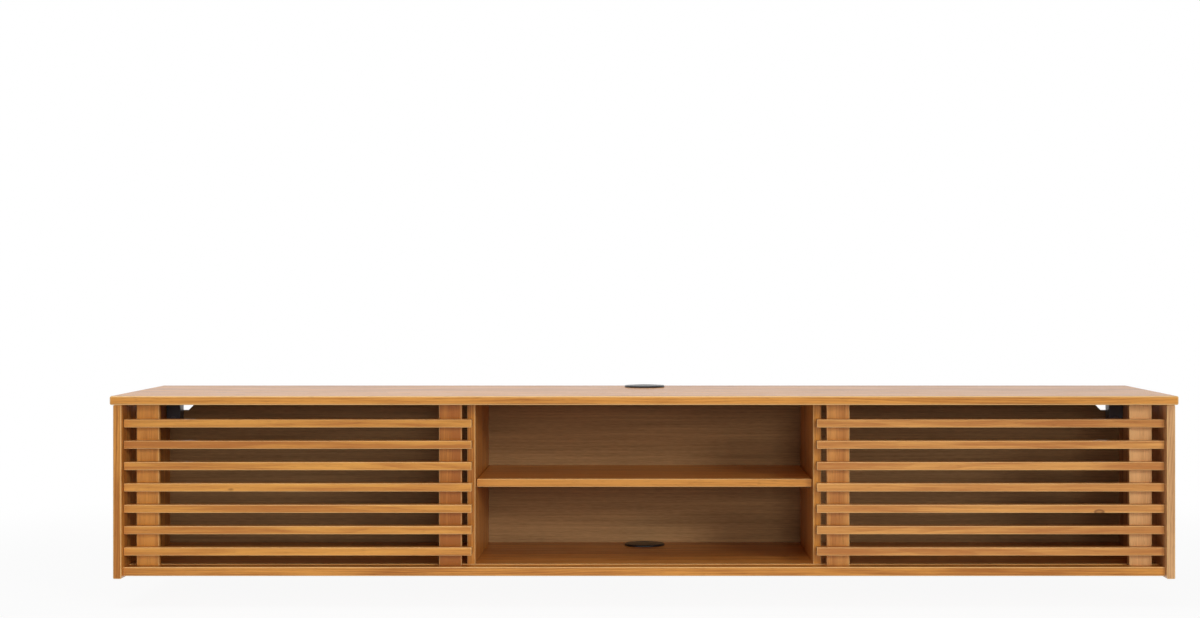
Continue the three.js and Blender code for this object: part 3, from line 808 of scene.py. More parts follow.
def drawn_out(outline: Array, axis: int, start: float, end: float) -> Surface:
    """An outline carried straight along an axis and closed at both ends.

    Args:
        outline: Points in the two axes that follow the given one, as (y, z) for X.
        axis: The axis that it is carried along.
        start: Where it starts on the axis.
        end: Where it ends.

    Returns:
        The surface.
    """
    count = len(outline)
    points = np.empty((2, count, 3))
    points[..., (axis + 1) % 3] = outline[:, 0]
    points[..., (axis + 2) % 3] = outline[:, 1]
    points[0, :, axis] = start
    points[1, :, axis] = end
    faces = lattice(2, count)
    faces.append(list(range(count))[::-1])
    faces.append(list(range(count, 2 * count)))
    return points.reshape(-1, 3), faces


def turn_angles(sides: int) -> Array:
    """The angles of a full turn, one for each side."""
    return np.linspace(0, FULL_TURN, sides, endpoint=False)


def round_axis(
    radii: Array, heights: Array, centre: Sequence[float], axis: int, sides: int, closed: bool = False
) -> Surface:
    """A surface round an axis.

    Formula: the point (r, h, a) lies r cos a and r sin a aside from the axis, at the height h.

    Args:
        radii: The radius of each row, or of each point in it.
        heights: The height of each row along the axis.
        centre: The point of the axis at the height 0.
        axis: The axis that it lies round.
        sides: Faces round it.
        closed: Whether the last row meets the first.

    Returns:
        The surface.
    """
    angles = turn_angles(sides)
    points = np.empty((len(radii), sides, 3))
    points[..., (axis + 1) % 3] = radii * np.cos(angles)
    points[..., (axis + 2) % 3] = radii * np.sin(angles)
    points[..., axis] = heights
    return (points + np.array(centre)).reshape(-1, 3), lattice(len(radii), sides, closed)


def turned(profile: Array, centre: Sequence[float], axis: int = Z, sides: int = ROUND_SIDES) -> Surface:
    """A closed profile of radii and heights turned about an axis."""
    return round_axis(profile[:, :1], profile[:, 1:], centre, axis, sides, closed=True)


def rod(
    radius: float, reach: Span, centre: Sequence[float], axis: int, sides: int, ease: float = 0.0
) -> Surface:
    """A round rod along an axis.

    Args:
        radius: Its radius.
        reach: Where it starts and ends on the axis, from the centre.
        centre: A point of its centre line.
        axis: The axis that it lies along.
        sides: Faces round it.
        ease: How round the rims of its ends are.

    Returns:
        The surface.
    """
    start, end = reach
    corners = [(0, start, 0), (radius, start, ease), (radius, end, ease), (0, end, 0)]
    profile = filleted(corners) if ease else np.array(corners)[:, :2]
    return turned(profile, centre, axis, sides)


def settle(piece: Piece) -> None:
    """Makes what a piece's modifiers give its own mesh, and clears them.

    Args:
        piece: The object.
    """
    shape = piece.evaluated_get(bpy.context.evaluated_depsgraph_get())
    mesh = bpy.data.meshes.new_from_object(shape)
    old = piece.data
    piece.modifiers.clear()
    piece.data = mesh
    mesh.name = piece.name
    bpy.data.meshes.remove(old)


def worked(piece: Piece, change: Change, tools: Iterable[Piece]) -> None:
    """Cuts the tools' space out of a piece, or joins them to it, and deletes them.

    Args:
        piece: What is changed.
        change: Whether the tools cut or join.
        tools: Closed objects.
    """
    tools = list(tools)
    for tool in tools:
        modifier = piece.modifiers.new(tool.name, "BOOLEAN")
        modifier.operation = change.value
        modifier.solver = "EXACT"
        modifier.object = tool
    settle(piece)
    for tool in tools:
        bpy.data.meshes.remove(tool.data)


def bevelled(piece: Piece, width: float = EDGE_BREAK) -> None:
    """Rounds the sharp edges of a piece by a small width.

    Args:
        piece: The object.
        width: How much the bevel takes off each edge.
    """
    bevel = piece.modifiers.new("arris", "BEVEL")
    bevel.width = width
    bevel.segments = BEVEL_STEPS
    bevel.limit_method = "ANGLE"
    bevel.angle_limit = math.radians(BEVEL_ANGLE)
    bevel.use_clamp_overlap = True
    settle(piece)


def smoothed(piece: Piece) -> None:
    """Shades round stretches smooth and keeps flat faces flat and sharp edges sharp.

    Args:
        piece: The object.
    """
    piece.data.shade_smooth()
    piece.data.set_sharp_from_angle(angle=math.radians(SMOOTH_ANGLE))
    piece.modifiers.new("flat_faces", "WEIGHTED_NORMAL").keep_sharp = True


def hole_cutter(axis: int, middle: Sequence[float], radius: float, reach: Span, sides: int) -> Piece:
    """A round rod as a cutting tool.

    Args:
        axis: The axis that it lies along.
        middle: Any point of its centre line.
        radius: Its radius.
        reach: Where it starts and ends on the axis.
        sides: Faces round it.

    Returns:
        The tool.
    """
    centre = np.array(middle, float)
    centre[axis] = 0
    return made("hole_cutter", rod(radius, reach, centre, axis, sides))


def rod_cutter(box: Box) -> Piece:
    """A hole for a round rod that fills a box, with the fit round it and the play at its ends.

    Args:
        box: The rod's box.

    Returns:
        The tool.
    """
    axis, radius = box.rod_in_it
    reach = (box.low[axis] - HOLE_PLAY, box.high[axis] + HOLE_PLAY)
    return hole_cutter(axis, box.centre, radius + FIT, reach, ROD_SIDES)


def block_cutter(box: Box) -> Piece:
    """A square-edged block as a cutting tool."""
    return made("block_cutter", eased_block(box, SQUARE))


@dataclass
class Timber:
    """Cuts each wooden piece from a place of its own in a log, with a tone of its own."""

    draws: np.random.Generator
    log_reach: float = 9.0
    aside_reach: float = 12 * MM
    depth_spread: float = 0.3
    arris_slope: float = 0.25

    def lay(
        self, piece: Piece, grain: Grain, pith_depth: float = 45 * MM, tone: float | None = None
    ) -> None:
        """Writes the grain, tone and arris attributes of a piece whose mesh is final.

        Args:
            piece: The wooden piece.
            grain: The way that the grain runs.
            pith_depth: How deep the pith lies under the board's middle.
            tone: How deep the colour is, or none for a drawn one.
        """
        mesh = piece.data
        count = len(mesh.vertices)
        places = np.empty(count * 3, np.float32)
        mesh.vertices.foreach_get("co", places)
        places = places.reshape(count, 3)
        middle = (places.min(axis=0) + places.max(axis=0)) / 2
        log = (places - middle)[:, list(grain.value)]
        nearest = (-self.log_reach, -self.aside_reach, (1 - self.depth_spread) * pith_depth)
        farthest = (self.log_reach, self.aside_reach, (1 + self.depth_spread) * pith_depth)
        log += self.draws.uniform(nearest, farthest)
        drawn = float(self.draws.uniform(-1, 1))
        # The arris mask is 1 on the sloping faces of a rounded edge, where the wood finish paints a
        # highlight
        facing = np.empty(len(mesh.polygons) * 3, np.float32)
        mesh.polygons.foreach_get("normal", facing)
        slope = 1 - np.abs(facing.reshape(-1, 3)).max(axis=1)
        tones = np.full(count, drawn if tone is None else tone)
        for name, kind, domain, key, values in (
            ("grain", "FLOAT_VECTOR", "POINT", "vector", log),
            ("tone", "FLOAT", "POINT", "value", tones),
            ("arris", "FLOAT", "FACE", "value", np.clip(slope / self.arris_slope, 0, 1)),
        ):
            attribute = mesh.attributes.new(name, kind, domain)
            attribute.data.foreach_set(key, values.astype(np.float32).ravel())


@dataclass
class Assembly:
    """A group of pieces that are made and finished together."""

    timber: Timber
    pieces: list[Piece] = field(default_factory=list)

    def hang(self, piece: Piece, node: str, finish: Finish) -> None:
        """Finishes a piece and hangs it on its body in a frame node's stead.

        Args:
            piece: The finished mesh.
            node: The frame node that it stands for.
            finish: What it is finished in.
        """
        piece.data.materials.clear()
        piece.data.materials.append(finish.material())
        smoothed(piece)
        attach(piece, BODY_OF[node])
        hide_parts(node)
        self.pieces.append(piece)
        LOG.info("%s stands for %s with %d faces", piece.name, node, len(piece.data.polygons))


@dataclass
class Carcass(Assembly):
    """The boards, the back panel, the dowels between them and the shelf's pins."""

    top_arris: Arris = Arris(3 * MM, 8)
    board_arris: Arris = Arris(2 * MM)
    track_play: float = 0.5 * MM
    upper_track_depth: float = 10 * MM
    lower_track_depth: float = 7 * MM
    track_arris: float = 0.7 * MM
    notch_width: float = 46 * MM
    notch_height: float = 29 * MM
    notch_chamfer: float = 12 * MM
    notch_corner: float = 1.5 * MM
    dowel_flutes: int = 14
    dowel_chamfer: float = 0.9 * MM
    flute_depth: float = 0.18 * MM
    flute_steps: int = 6
    pin_round: float = 0.6 * MM
    pin_sides: int = 40

    def build(self) -> None:
        """Makes every piece of the carcass."""
        self.top()
        self.bottom()
        self.board("centre_shelf", Grain.ALONG_WIDTH, SHELF_TONE)
        self.back()
        for side in SIDES:
            self.end_panel(side)
            self.divider(side)
            for level in LEVELS:
                for end in ENDS:
                    self.dowel(f"{side}_{level}_{end}_dowel")
            for end in ENDS:
                self.shelf_pin(f"{side}_{end}_shelf_pin")

    def board(
        self,
        node: str,
        grain: Grain,
        tone: float,
        cutters: Iterable[Piece] = (),
        finish: Finish = PANEL_WOOD,
        arris: Arris | None = None,
    ) -> None:
        """Makes a board with rounded arrises.

        Args:
            node: The frame node that it stands for.
            grain: The way that the grain runs.
            tone: How deep its colour is.
            cutters: What is cut out of it.
            finish: What it is finished in.
            arris: Its rounded edges, or none for those of most boards.
        """
        board = made(f"{node}_board", eased_block(Box.of(node), arris or self.board_arris))
        worked(board, Change.CUT, cutters)
        self.timber.lay(board, grain, tone=tone)
        self.hang(board, node, finish)

    def inner_reach(self) -> Span:
        """Where the end panels' inner faces lie along X."""
        return Box.of("left_end_panel").high[X], Box.of("right_end_panel").low[X]

    def track_cutter(self, face: float, floor: float, reach: Span) -> Piece:
        """A door track with eased edges, cut from a panel's face to the track's floor.

        Args:
            face: The height of the panel's face.
            floor: The height of the track's floor.
            reach: Where it starts and ends along X.

        Returns:
            The cutting tool.
        """
        stile = Box.of("left_door_outer_stile")
        front, rear = stile.low[Y] - self.track_play, stile.high[Y] + self.track_play
        way = math.copysign(1, face - floor)
        lip = face - way * self.track_arris
        flare = self.track_arris + OVERRUN
        outline = np.array(
            [
                (front, floor),
                (rear, floor),
                (rear, lip),
                (rear + flare, lip + way * flare),
                (front - flare, lip + way * flare),
                (front, lip),
            ]
        )
        return made("track_cutter", drawn_out(outline, X, *reach))

    def back_groove(self) -> Piece:
        """The groove that the back panel stands in, as a cutting tool."""
        return block_cutter(Box.of("back_panel").grown(FIT))

    def dowel_holes(self, sides: Iterable[str], levels: Iterable[str]) -> list[Piece]:
        """The dowels' holes at the given sides and levels, as cutting tools."""
        names = [f"{side}_{level}_{end}_dowel" for side in sides for level in levels for end in ENDS]
        return [rod_cutter(Box.of(name)) for name in names]

    def shared_cutters(self, level: str) -> list[Piece]:
        """The grommet's hole, the back's groove, the divider housings and dowel holes of a panel.

        Args:
            level: The top or the bottom panel.

        Returns:
            The cutting tools.
        """
        panel, sleeve = Box.of(f"{level}_panel"), Box.of(f"{level}_grommet_sleeve")
        reach = (panel.low[Z] - OVERRUN, panel.high[Z] + OVERRUN)
        radius = GROMMET_HOLE_RADIUS + FIT
        return [
            hole_cutter(Z, sleeve.centre, radius, reach, ROUND_SIDES),
            self.back_groove(),
            *(block_cutter(Box.of(f"{side}_divider").grown(FIT)) for side in SIDES),
            *self.dowel_holes(SIDES, [level]),
        ]

    def top(self) -> None:
        """The top panel, with the upper track in its underside."""
        face = Box.of("top_panel").low[Z]
        track = self.track_cutter(face, face + self.upper_track_depth, self.inner_reach())
        cutters = [track, *self.shared_cutters("top")]
        self.board("top_panel", Grain.ALONG_WIDTH, TOP_TONE, cutters, arris=self.top_arris)

    def bottom(self) -> None:
        """The bottom panel, with the lower track in its upper face."""
        face = Box.of("bottom_panel").high[Z]
        low, high = self.inner_reach()
        track = self.track_cutter(face, face - self.lower_track_depth, (low - OVERRUN, high + OVERRUN))
        cutters = [track, *self.shared_cutters("bottom")]
        self.board("bottom_panel", Grain.ALONG_WIDTH, BOTTOM_TONE, cutters)

    def end_panel(self, side: str) -> None:
        """An end panel, drilled for its dowels and for the hanger's two studs.

        Args:
            side: The side that it is on.
        """
        housing = Box.of(f"{side}_hanger_housing")
        middle = housing.centre
        half = np.array([housing.size[X] / 2, STUD_RADIUS, STUD_RADIUS])
        studs = []
        for height in stud_heights(housing):
            centre = np.array([middle[X], middle[Y], height])
            studs.append(rod_cutter(Box(centre - half, centre + half)))
        cutters = [self.back_groove(), *studs, *self.dowel_holes([side], LEVELS)]
        self.board(f"{side}_end_panel", Grain.UPRIGHT_SIDE, END_TONES[side], cutters, END_WOODS[side])

    def divider(self, side: str) -> None:
        """A divider, drilled for the shelf's pins."""
        cutters = [rod_cutter(Box.of(f"{side}_{end}_shelf_pin")) for end in ENDS]
        self.board(f"{side}_divider", Grain.UPRIGHT_SIDE, DIVIDER_TONES[side], cutters)

    def back(self) -> None:
        """The back panel, with its upper corners cut away for the hanger hooks."""
        box = Box.of("back_panel")
        _, reach = self.inner_reach()
        ceiling = Box.of("top_panel").low[Z]
        notch_x, notch_z = reach - self.notch_width, ceiling - self.notch_height
        low, high, half = box.low[Z], box.high[Z], box.high[X]
        corner, chamfer = self.notch_corner, self.notch_chamfer
        right = [
            (low, half, 0),
            (notch_z, half, 0),
            (notch_z, notch_x + chamfer, corner),
            (notch_z + chamfer, notch_x, corner),
            (high, notch_x, 0),
        ]
        left = [(height, -place, radius) for height, place, radius in reversed(right)]
        outline = filleted([*right, *left])
        board = made("back_panel_board", drawn_out(outline, Y, box.low[Y], box.high[Y]))
        bevelled(board)
        self.timber.lay(board, Grain.ALONG_BAR, tone=BACK_TONE)
        self.hang(board, "back_panel", BACK_FINISH)

    def dowel(self, node: str) -> None:
        """A fluted dowel with chamfered ends.

        Formula: the radius dips by the flute depth as the square of a cosine round the dowel, and
        draws in by the chamfer at each end.

        Args:
            node: The frame node that it stands for.
        """
        box = Box.of(node)
        axis, radius = box.rod_in_it
        half, chamfer = box.size[axis] / 2, self.dowel_chamfer
        heights = np.array([-half, -half, -half + chamfer, half - chamfer, half, half])[:, None]
        reach = np.array([0, radius - chamfer, radius, radius, radius - chamfer, 0])[:, None]
        sides = self.flute_steps * self.dowel_flutes
        dip = self.flute_depth * np.cos(turn_angles(sides) * self.dowel_flutes / 2) ** 2
        radii = np.maximum(reach - dip * (reach >= radius), 0)
        dowel = made(f"{node}_rod", round_axis(radii, heights, box.centre, axis, sides))
        self.timber.lay(dowel, Grain.ALONG_WIDTH if axis == X else Grain.UPRIGHT_FRONT)
        self.hang(dowel, node, DOWEL_FINISH)

    def shelf_pin(self, node: str) -> None:
        """A steel pin with rounded ends.

        Args:
            node: The frame node that it stands for.
        """
        box = Box.of(node)
        radius, half = box.size[Z] / 2, box.size[X] / 2
        surface = rod(radius, (-half, half), box.centre, X, self.pin_sides, self.pin_round)
        pin = made(f"{node}_turned", surface)
        self.hang(pin, node, STEEL)


@dataclass
class SlidingDoor(Assembly):
    """Seven slats in front of two stiles, which stand on glides in the lower track."""

    side: str = "left"
    slat_arris: Arris = Arris(1.5 * MM, 6)
    slat_pith_depth: float = 40 * MM
    stile_arris: Arris = Arris(2 * MM)
    stile_pith_depth: float = 30 * MM
    stem_width: float = 6 * MM
    stem_inset: float = 8 * MM
    stem_arris: Arris = Arris(0.4 * MM, 4)
    pad_height: float = 2 * MM
    pad_arris: Arris = Arris(0.6 * MM, 4)

    def build(self) -> None:
        """Makes every piece of the door."""
        for number, tone in enumerate(SLAT_TONES[self.side], 1):
            self.slat(f"{self.side}_door_slat_{number}", tone)
        for place in ("outer", "inner"):
            self.stile(f"{self.side}_door_{place}_stile", f"{self.side}_door_{place}_glide")
            self.glide(f"{self.side}_door_{place}_glide")

    def slat(self, node: str, tone: float) -> None:
        """One slat with rounded arrises.

        Args:
            node: The frame node that it stands for.
            tone: How deep its colour is.
        """
        bar = made(f"{node}_bar", eased_block(Box.of(node), self.slat_arris))
        self.timber.lay(bar, Grain.ALONG_BAR, self.slat_pith_depth, tone)
        self.hang(bar, node, DOOR_WOODS[self.side])

    def stile(self, node: str, glide: str) -> None:
        """A stile, mortised at its foot for the glide's stem.

        Args:
            node: The frame node that it stands for.
            glide: The node of the glide in its foot.
        """
        bar = made(f"{node}_bar", eased_block(Box.of(node), self.stile_arris))
        worked(bar, Change.CUT, [block_cutter(self.stem(Box.of(glide)).grown(FIT))])
        self.timber.lay(bar, Grain.UPRIGHT_FRONT, self.stile_pith_depth, STILE_TONES[node])
        self.hang(bar, node, STILE_WOODS.get(node, DOOR_WOODS[self.side]))

    def stem(self, glide: Box) -> Box:
        """The part of a glide that stands in the stile.

        Args:
            glide: The glide's box.

        Returns:
            The stem's box.
        """
        stile = Box.of(f"{self.side}_door_outer_stile")
        x, y, _ = glide.centre
        across, through = stile.size[X] / 2 - self.stem_inset, self.stem_width / 2
        low = np.array([x - across, y - through, glide.low[Z] + self.pad_height / 2])
        high = np.array([x + across, y + through, glide.high[Z]])
        return Box(low, high)

    def glide(self, node: str) -> None:
        """A nylon pad with rounded ends under a stem.

        Args:
            node: The frame node that it stands for.
        """
        box = Box.of(node)
        foot = box.stretched(Z, high=box.low[Z] + self.pad_height)
        pad = made(f"{node}_pad", eased_block(foot, self.pad_arris))
        worked(pad, Change.JOIN, [made("stem", eased_block(self.stem(box), self.stem_arris))])
        self.hang(pad, node, NYLON)


@dataclass
class Grommet(Assembly):
    """A flanged sleeve with a turning cap that is open at the rear for the cables."""

    level: str = "top"
    flange_width: float = 6 * MM
    flange_height: float = 3.5 * MM
    flange_round: float = 1.5 * MM
    sleeve_wall: float = 2.5 * MM
    lead_round: float = 1.2 * MM
    bore_round: float = 0.4 * MM
    edge_round: float = 0.3 * MM
    seat_round: float = 0.2 * MM
    cap_lap: float = 2 * MM
    cap_rim: float = 1.5 * MM
    cap_crown: float = 1.5 * MM
    cap_play: float = 0.5 * MM
    cap_round: float = 0.5 * MM
    cap_edge: float = 0.35 * MM
    crown_share: float = 0.95
    crown_rings: int = 9
    skirt_wall: float = 2 * MM
    skirt_height: float = 6 * MM
    skirt_round: float = 0.6 * MM
    slot_width: float = 18 * MM
    slot_reach: float = 18 * MM
    slot_round_share: float = 0.999
    slot_steps: int = 12

    def build(self) -> None:
        """Makes the sleeve and the cap."""
        self.sleeve()
        self.cap()

    @property
    def face(self) -> float:
        """The height of the panel's face that the flange lies on."""
        return Box.of(f"{self.level}_panel").high[Z]

    @property
    def centre(self) -> Triple:
        """The middle of the grommet in the panel's face."""
        middle = Box.of(f"{self.level}_grommet_sleeve").centre
        return (middle[X], middle[Y], self.face)

    @property
    def bore(self) -> float:
        """The radius of the sleeve's bore."""
        return GROMMET_HOLE_RADIUS - self.sleeve_wall

    @property
    def cap_radius(self) -> float:
        """The cap's radius, which laps over the sleeve's bore."""
        return GROMMET_HOLE_RADIUS + self.cap_lap

    def sleeve(self) -> None:
        """The sleeve, with a rounded flange and a seat for the cap."""
        node = f"{self.level}_grommet_sleeve"
        low = Box.of(node).low[Z] - self.face
        flange = GROMMET_HOLE_RADIUS + self.flange_width
        seat = self.cap_radius + self.cap_play
        ledge = self.flange_height - self.cap_rim - FIT
        profile = filleted(
            [
                (self.bore, low, self.bore_round),
                (GROMMET_HOLE_RADIUS, low, self.lead_round),
                (GROMMET_HOLE_RADIUS, FIT, 0),
                (flange, FIT, self.edge_round),
                (flange, self.flange_height, self.flange_round),
                (seat, self.flange_height, self.edge_round),
                (seat, ledge, self.seat_round),
                (self.bore, ledge, self.edge_round),
            ]
        )
        self.hang(made(f"{node}_moulding", turned(profile, self.centre)), node, GROMMET_PLASTIC)

    def cap(self) -> None:
        """The cap: a low crown over a skirt.

        Formula: the crown's height falls from the middle as the square of the radius.
        """
        node = f"{self.level}_grommet_cap"
        under = self.flange_height - self.cap_rim
        skirt_outer = self.bore - self.cap_play
        skirt_inner = skirt_outer - self.skirt_wall
        skirt_low = under - self.skirt_height
        shares = np.linspace(self.crown_share, 0, self.crown_rings)
        heights = self.flange_height + self.cap_crown * (1 - shares ** 2)
        crown = np.stack([self.cap_radius * shares, heights], axis=-1)
        rim = filleted(
            [
                (0, under, 0),
                (skirt_inner, under, self.bore_round),
                (skirt_inner, skirt_low, self.bore_round),
                (skirt_outer, skirt_low, self.skirt_round),
                (skirt_outer, under, self.seat_round),
                (self.cap_radius, under, self.edge_round),
                (self.cap_radius, self.flange_height, self.cap_round),
                (*crown[0], 0),
            ]
        )
        disc = made(f"{node}_moulding", turned(np.concatenate([rim, crown[1:]]), self.centre))
        worked(disc, Change.CUT, [self.slot_cutter(skirt_low)])
        bevelled(disc, self.cap_edge)
        self.hang(disc, node, GROMMET_PLASTIC)

    def slot_cutter(self, skirt_low: float) -> Piece:
        """The cable slot: straight sides with a round inner end, open at the rear.

        Args:
            skirt_low: The skirt's lower edge over the panel's face.

        Returns:
            The cutting tool.
        """
        half = self.slot_width / 2
        ease = half * self.slot_round_share
        inner = self.cap_radius - self.slot_reach
        rear = self.cap_radius + OVERRUN
        corners = [(half, rear, 0), (-half, rear, 0), (-half, inner, ease), (half, inner, ease)]
        outline = filleted(corners, self.slot_steps) + np.array(self.centre[:2])
        low = self.face + skirt_low - OVERRUN
        high = self.face + self.flange_height + self.cap_crown + OVERRUN
        return made("slot_cutter", drawn_out(outline, Z, low, high))


@dataclass
class Hanger(Assembly):
    """A cabinet hanger: its housing, hook and two screws, and the plate on the wall."""

    side: str = "left"
    wall: float = 2 * MM
    housing_arris: Arris = Arris(1.5 * MM)
    housing_sides: int = 48
    stud_round: float = 0.5 * MM
    screw_radius: float = 2.5 * MM
    screw_sides: int = 32
    head_radius: float = 4 * MM
    head_height: float = 3 * MM
    head_round: float = 0.5 * MM
    head_shoulder: float = 0.15 * MM
    head_chamfer: float = 0.3 * MM
    slot_width: float = 1.2 * MM
    slot_depth: float = 1.5 * MM
    thread_pitch: float = 0.8 * MM
    thread_depth: float = 0.35 * MM
    thread_steps: int = 6
    lead_in: float = 1.2 * MM
    point_share: float = 0.45
    plate_gauge: float = 2 * MM
    stand_off: float = 6 * MM
    lip_height: float = 11 * MM
    lip_round: float = 0.6 * MM
    leaf_round: float = 0.4 * MM
    inner_bend: float = 1.5 * MM
    outer_bend: float = 3 * MM
    hole_radius: float = 2.75 * MM
    hole_sides: int = 40
    hole_spacing: float = 16 * MM
    hole_rise: float = 12 * MM
    hook_body_depth: float = 18 * MM
    hook_corner: float = 1.5 * MM
    arm_height: float = 10 * MM
    arm_root: float = 0.8 * MM
    bearing_drop: float = 1.5 * MM
    bearing_round: float = 0.4 * MM
    hook_play: float = 1 * MM
    tip_drop: float = 8 * MM
    tip_round: float = 1 * MM

    def build(self) -> None:
        """Makes every piece of the hanger."""
        self.housing()
        self.hook()
        self.screw(f"{self.side}_hanger_depth_screw")
        self.screw(f"{self.side}_hanger_height_screw")
        self.plate()

    def shell_box(self) -> Box:
        """The housing without its studs.

        Returns:
            Its box.
        """
        box = Box.of(f"{self.side}_hanger_housing")
        end_panel = Box.of(f"{self.side}_end_panel")
        if SIDES[self.side] < 0:
            return box.stretched(X, low=end_panel.high[X] + FIT)
        return box.stretched(X, high=end_panel.low[X] - FIT)

    def housing(self) -> None:
        """The housing: a box open towards the wall, with two studs and a hole for each screw."""
        node = f"{self.side}_hanger_housing"
        whole, shell = Box.of(node), self.shell_box()
        hollow = shell.grown(-self.wall).stretched(Y, high=shell.high[Y] + OVERRUN)
        reach = (shell.low[Y] - OVERRUN, shell.low[Y] + self.wall + OVERRUN)
        heads = [Box.of(f"{self.side}_hanger_{name}_screw").centre for name in ("depth", "height")]
        hole = self.head_radius + FIT
        holes = [hole_cutter(Y, head, hole, reach, self.housing_sides) for head in heads]
        body = made(f"{node}_moulding", eased_block(shell, self.housing_arris))
        worked(body, Change.CUT, [block_cutter(hollow), *holes])
        way = SIDES[self.side]
        outer = whole.low[X] if way < 0 else whole.high[X]
        inner = shell.centre[X] + way * (shell.size[X] / 2 - self.wall / 2)
        reach = (min(inner, outer), max(inner, outer))
        studs = [
            rod(STUD_RADIUS, reach, (0, shell.centre[Y], height), X, self.housing_sides, self.stud_round)
            for height in stud_heights(shell)
        ]
        worked(body, Change.JOIN, [made("stud", stud) for stud in studs])
        self.hang(body, node, HANGER_PLASTIC)

    def pressing(self, node: str, corners: Sequence[Triple], holes: list[Piece]) -> None:
        """Makes a steel pressing from its side outline, drills it and breaks its edges.

        Args:
            node: The frame node that it stands for.
            corners: The outline's corners along Y and Z, each with its radius.
            holes: What is cut out of it.
        """
        box = Box.of(node)
        piece = made(f"{node}_pressing", drawn_out(filleted(corners), X, box.low[X], box.high[X]))
        worked(piece, Change.CUT, holes)
        bevelled(piece)
        self.hang(piece, node, STEEL)

    def hook(self) -> None:
        """The hook: a body in the housing, an arm through the notch and a tip behind the lip."""
        node = f"{self.side}_hanger_hook"
        box, wall_plate = Box.of(node), Box.of(f"{self.side}_wall_plate")
        lip_rear = wall_plate.high[Y] - self.plate_gauge - self.stand_off
        tip_front = lip_rear + self.hook_play
        bearing_front = lip_rear - self.plate_gauge - self.hook_play
        body_rear = box.low[Y] + self.hook_body_depth
        bearing = wall_plate.high[Z] + FIT
        arm_low = bearing + self.bearing_drop
        arm_high = arm_low + self.arm_height
        tip_low = bearing - self.tip_drop
        corners = [
            (box.low[Y], box.low[Z], self.hook_corner),
            (body_rear, box.low[Z], self.hook_corner),
            (body_rear, arm_low, self.arm_root),
            (bearing_front, arm_low, self.bearing_round),
            (bearing_front, bearing, self.bearing_round),
            (tip_front, bearing, self.bearing_round),
            (tip_front, tip_low, self.tip_round),
            (box.high[Y], tip_low, self.tip_round),
            (box.high[Y], arm_high, self.outer_bend),
            (body_rear, arm_high, self.arm_root),
            (body_rear, box.high[Z], self.hook_corner),
            (box.low[Y], box.high[Z], self.hook_corner),
        ]
        screw = Box.of(f"{self.side}_hanger_depth_screw").centre
        reach = (box.low[Y] - OVERRUN, body_rear + OVERRUN)
        hole = hole_cutter(Y, screw, self.screw_radius + FIT, reach, self.hole_sides)
        self.pressing(node, corners, [hole])

    def screw(self, node: str) -> None:
        """A slotted screw with a rolled thread.

        Formula: along the shank the radius dips by the thread depth with the distance from the
        nearest turn, and the turns climb by one pitch in a full circle.

        Args:
            node: The frame node that it stands for.
        """
        box = Box.of(node)
        length, head, edge = box.size[Y], self.head_height, self.head_radius
        angles = turn_angles(self.screw_sides)
        steps = int((length - head) / (self.thread_pitch / self.thread_steps))
        shank = np.linspace(head, length, steps)[:, None]
        turn = np.abs((shank / self.thread_pitch - angles / FULL_TURN) % 1 - 0.5) * 2
        point = np.clip((length - shank) / self.lead_in, self.point_share, 1)
        thread = (self.screw_radius - self.thread_depth * turn) * point
        dome = np.array(
            [
                (0, 0),
                (edge - self.head_round, 0),
                (edge - self.head_shoulder, self.head_shoulder),
                (edge, self.head_round),
                (edge, head - self.head_chamfer),
                (edge - self.head_chamfer, head),
            ]
        )
        crown = np.broadcast_to(dome[:, :1], (len(dome), len(angles)))
        radii = np.concatenate([crown, thread, np.zeros((1, len(angles)))])
        places = np.concatenate([dome[:, 1], shank[:, 0], [length]])[:, None]
        tip = (box.centre[X], box.low[Y], box.centre[Z])
        body = made(f"{node}_threaded", round_axis(radii, places, tip, Y, self.screw_sides))
        half = self.slot_width / 2
        slot = box.grown(OVERRUN).stretched(Y, high=box.low[Y] + self.slot_depth)
        slot = slot.stretched(Z, box.centre[Z] - half, box.centre[Z] + half)
        worked(body, Change.CUT, [block_cutter(slot)])
        self.hang(body, node, STEEL)

    def plate(self) -> None:
        """The wall plate: a leaf on the wall with a joggled lip that the hook drops over."""
        node = f"{self.side}_wall_plate"
        box = Box.of(node)
        leaf_front = box.high[Y] - self.plate_gauge
        lip_rear = leaf_front - self.stand_off
        lip_low = box.high[Z] - self.lip_height
        bend_low = lip_low - self.stand_off
        corners = [
            (leaf_front, box.low[Z], self.leaf_round),
            (box.high[Y], box.low[Z], self.leaf_round),
            (box.high[Y], bend_low, self.outer_bend),
            (lip_rear, lip_low, self.inner_bend),
            (lip_rear, box.high[Z], self.lip_round),
            (box.low[Y], box.high[Z], self.lip_round),
            (box.low[Y], lip_low, self.outer_bend),
            (leaf_front, bend_low, self.inner_bend),
        ]
        reach = (leaf_front - OVERRUN, box.high[Y] + OVERRUN)
        height = box.low[Z] + self.hole_rise
        middles = [(box.centre[X] + way * self.hole_spacing / 2, 0, height) for way in (-1, 1)]
        holes = [hole_cutter(Y, middle, self.hole_radius, reach, self.hole_sides) for middle in middles]
        self.pressing(node, corners, holes)


@dataclass(frozen=True)
class Lamp:
    """One soft rectangular lamp."""

    name: str
    place: Triple
    target: Triple
    size: Span
    power: float
    glossy: bool = True

    def hang(self) -> None:
        """Adds the lamp, turned to its target."""
        data = bpy.data.lights.new(self.name, "AREA")
        data.shape = "RECTANGLE"
        data.size, data.size_y = self.size
        data.energy = self.power
        lamp = bpy.data.objects.new(self.name, data)
        lamp.visible_camera = False
        lamp.visible_glossy = self.glossy
        bpy.context.scene.collection.objects.link(lamp)
        lamp.location = self.place
        away = lamp.location - Vector(self.target)
        lamp.rotation_euler = away.to_track_quat("Z", "Y").to_euler()


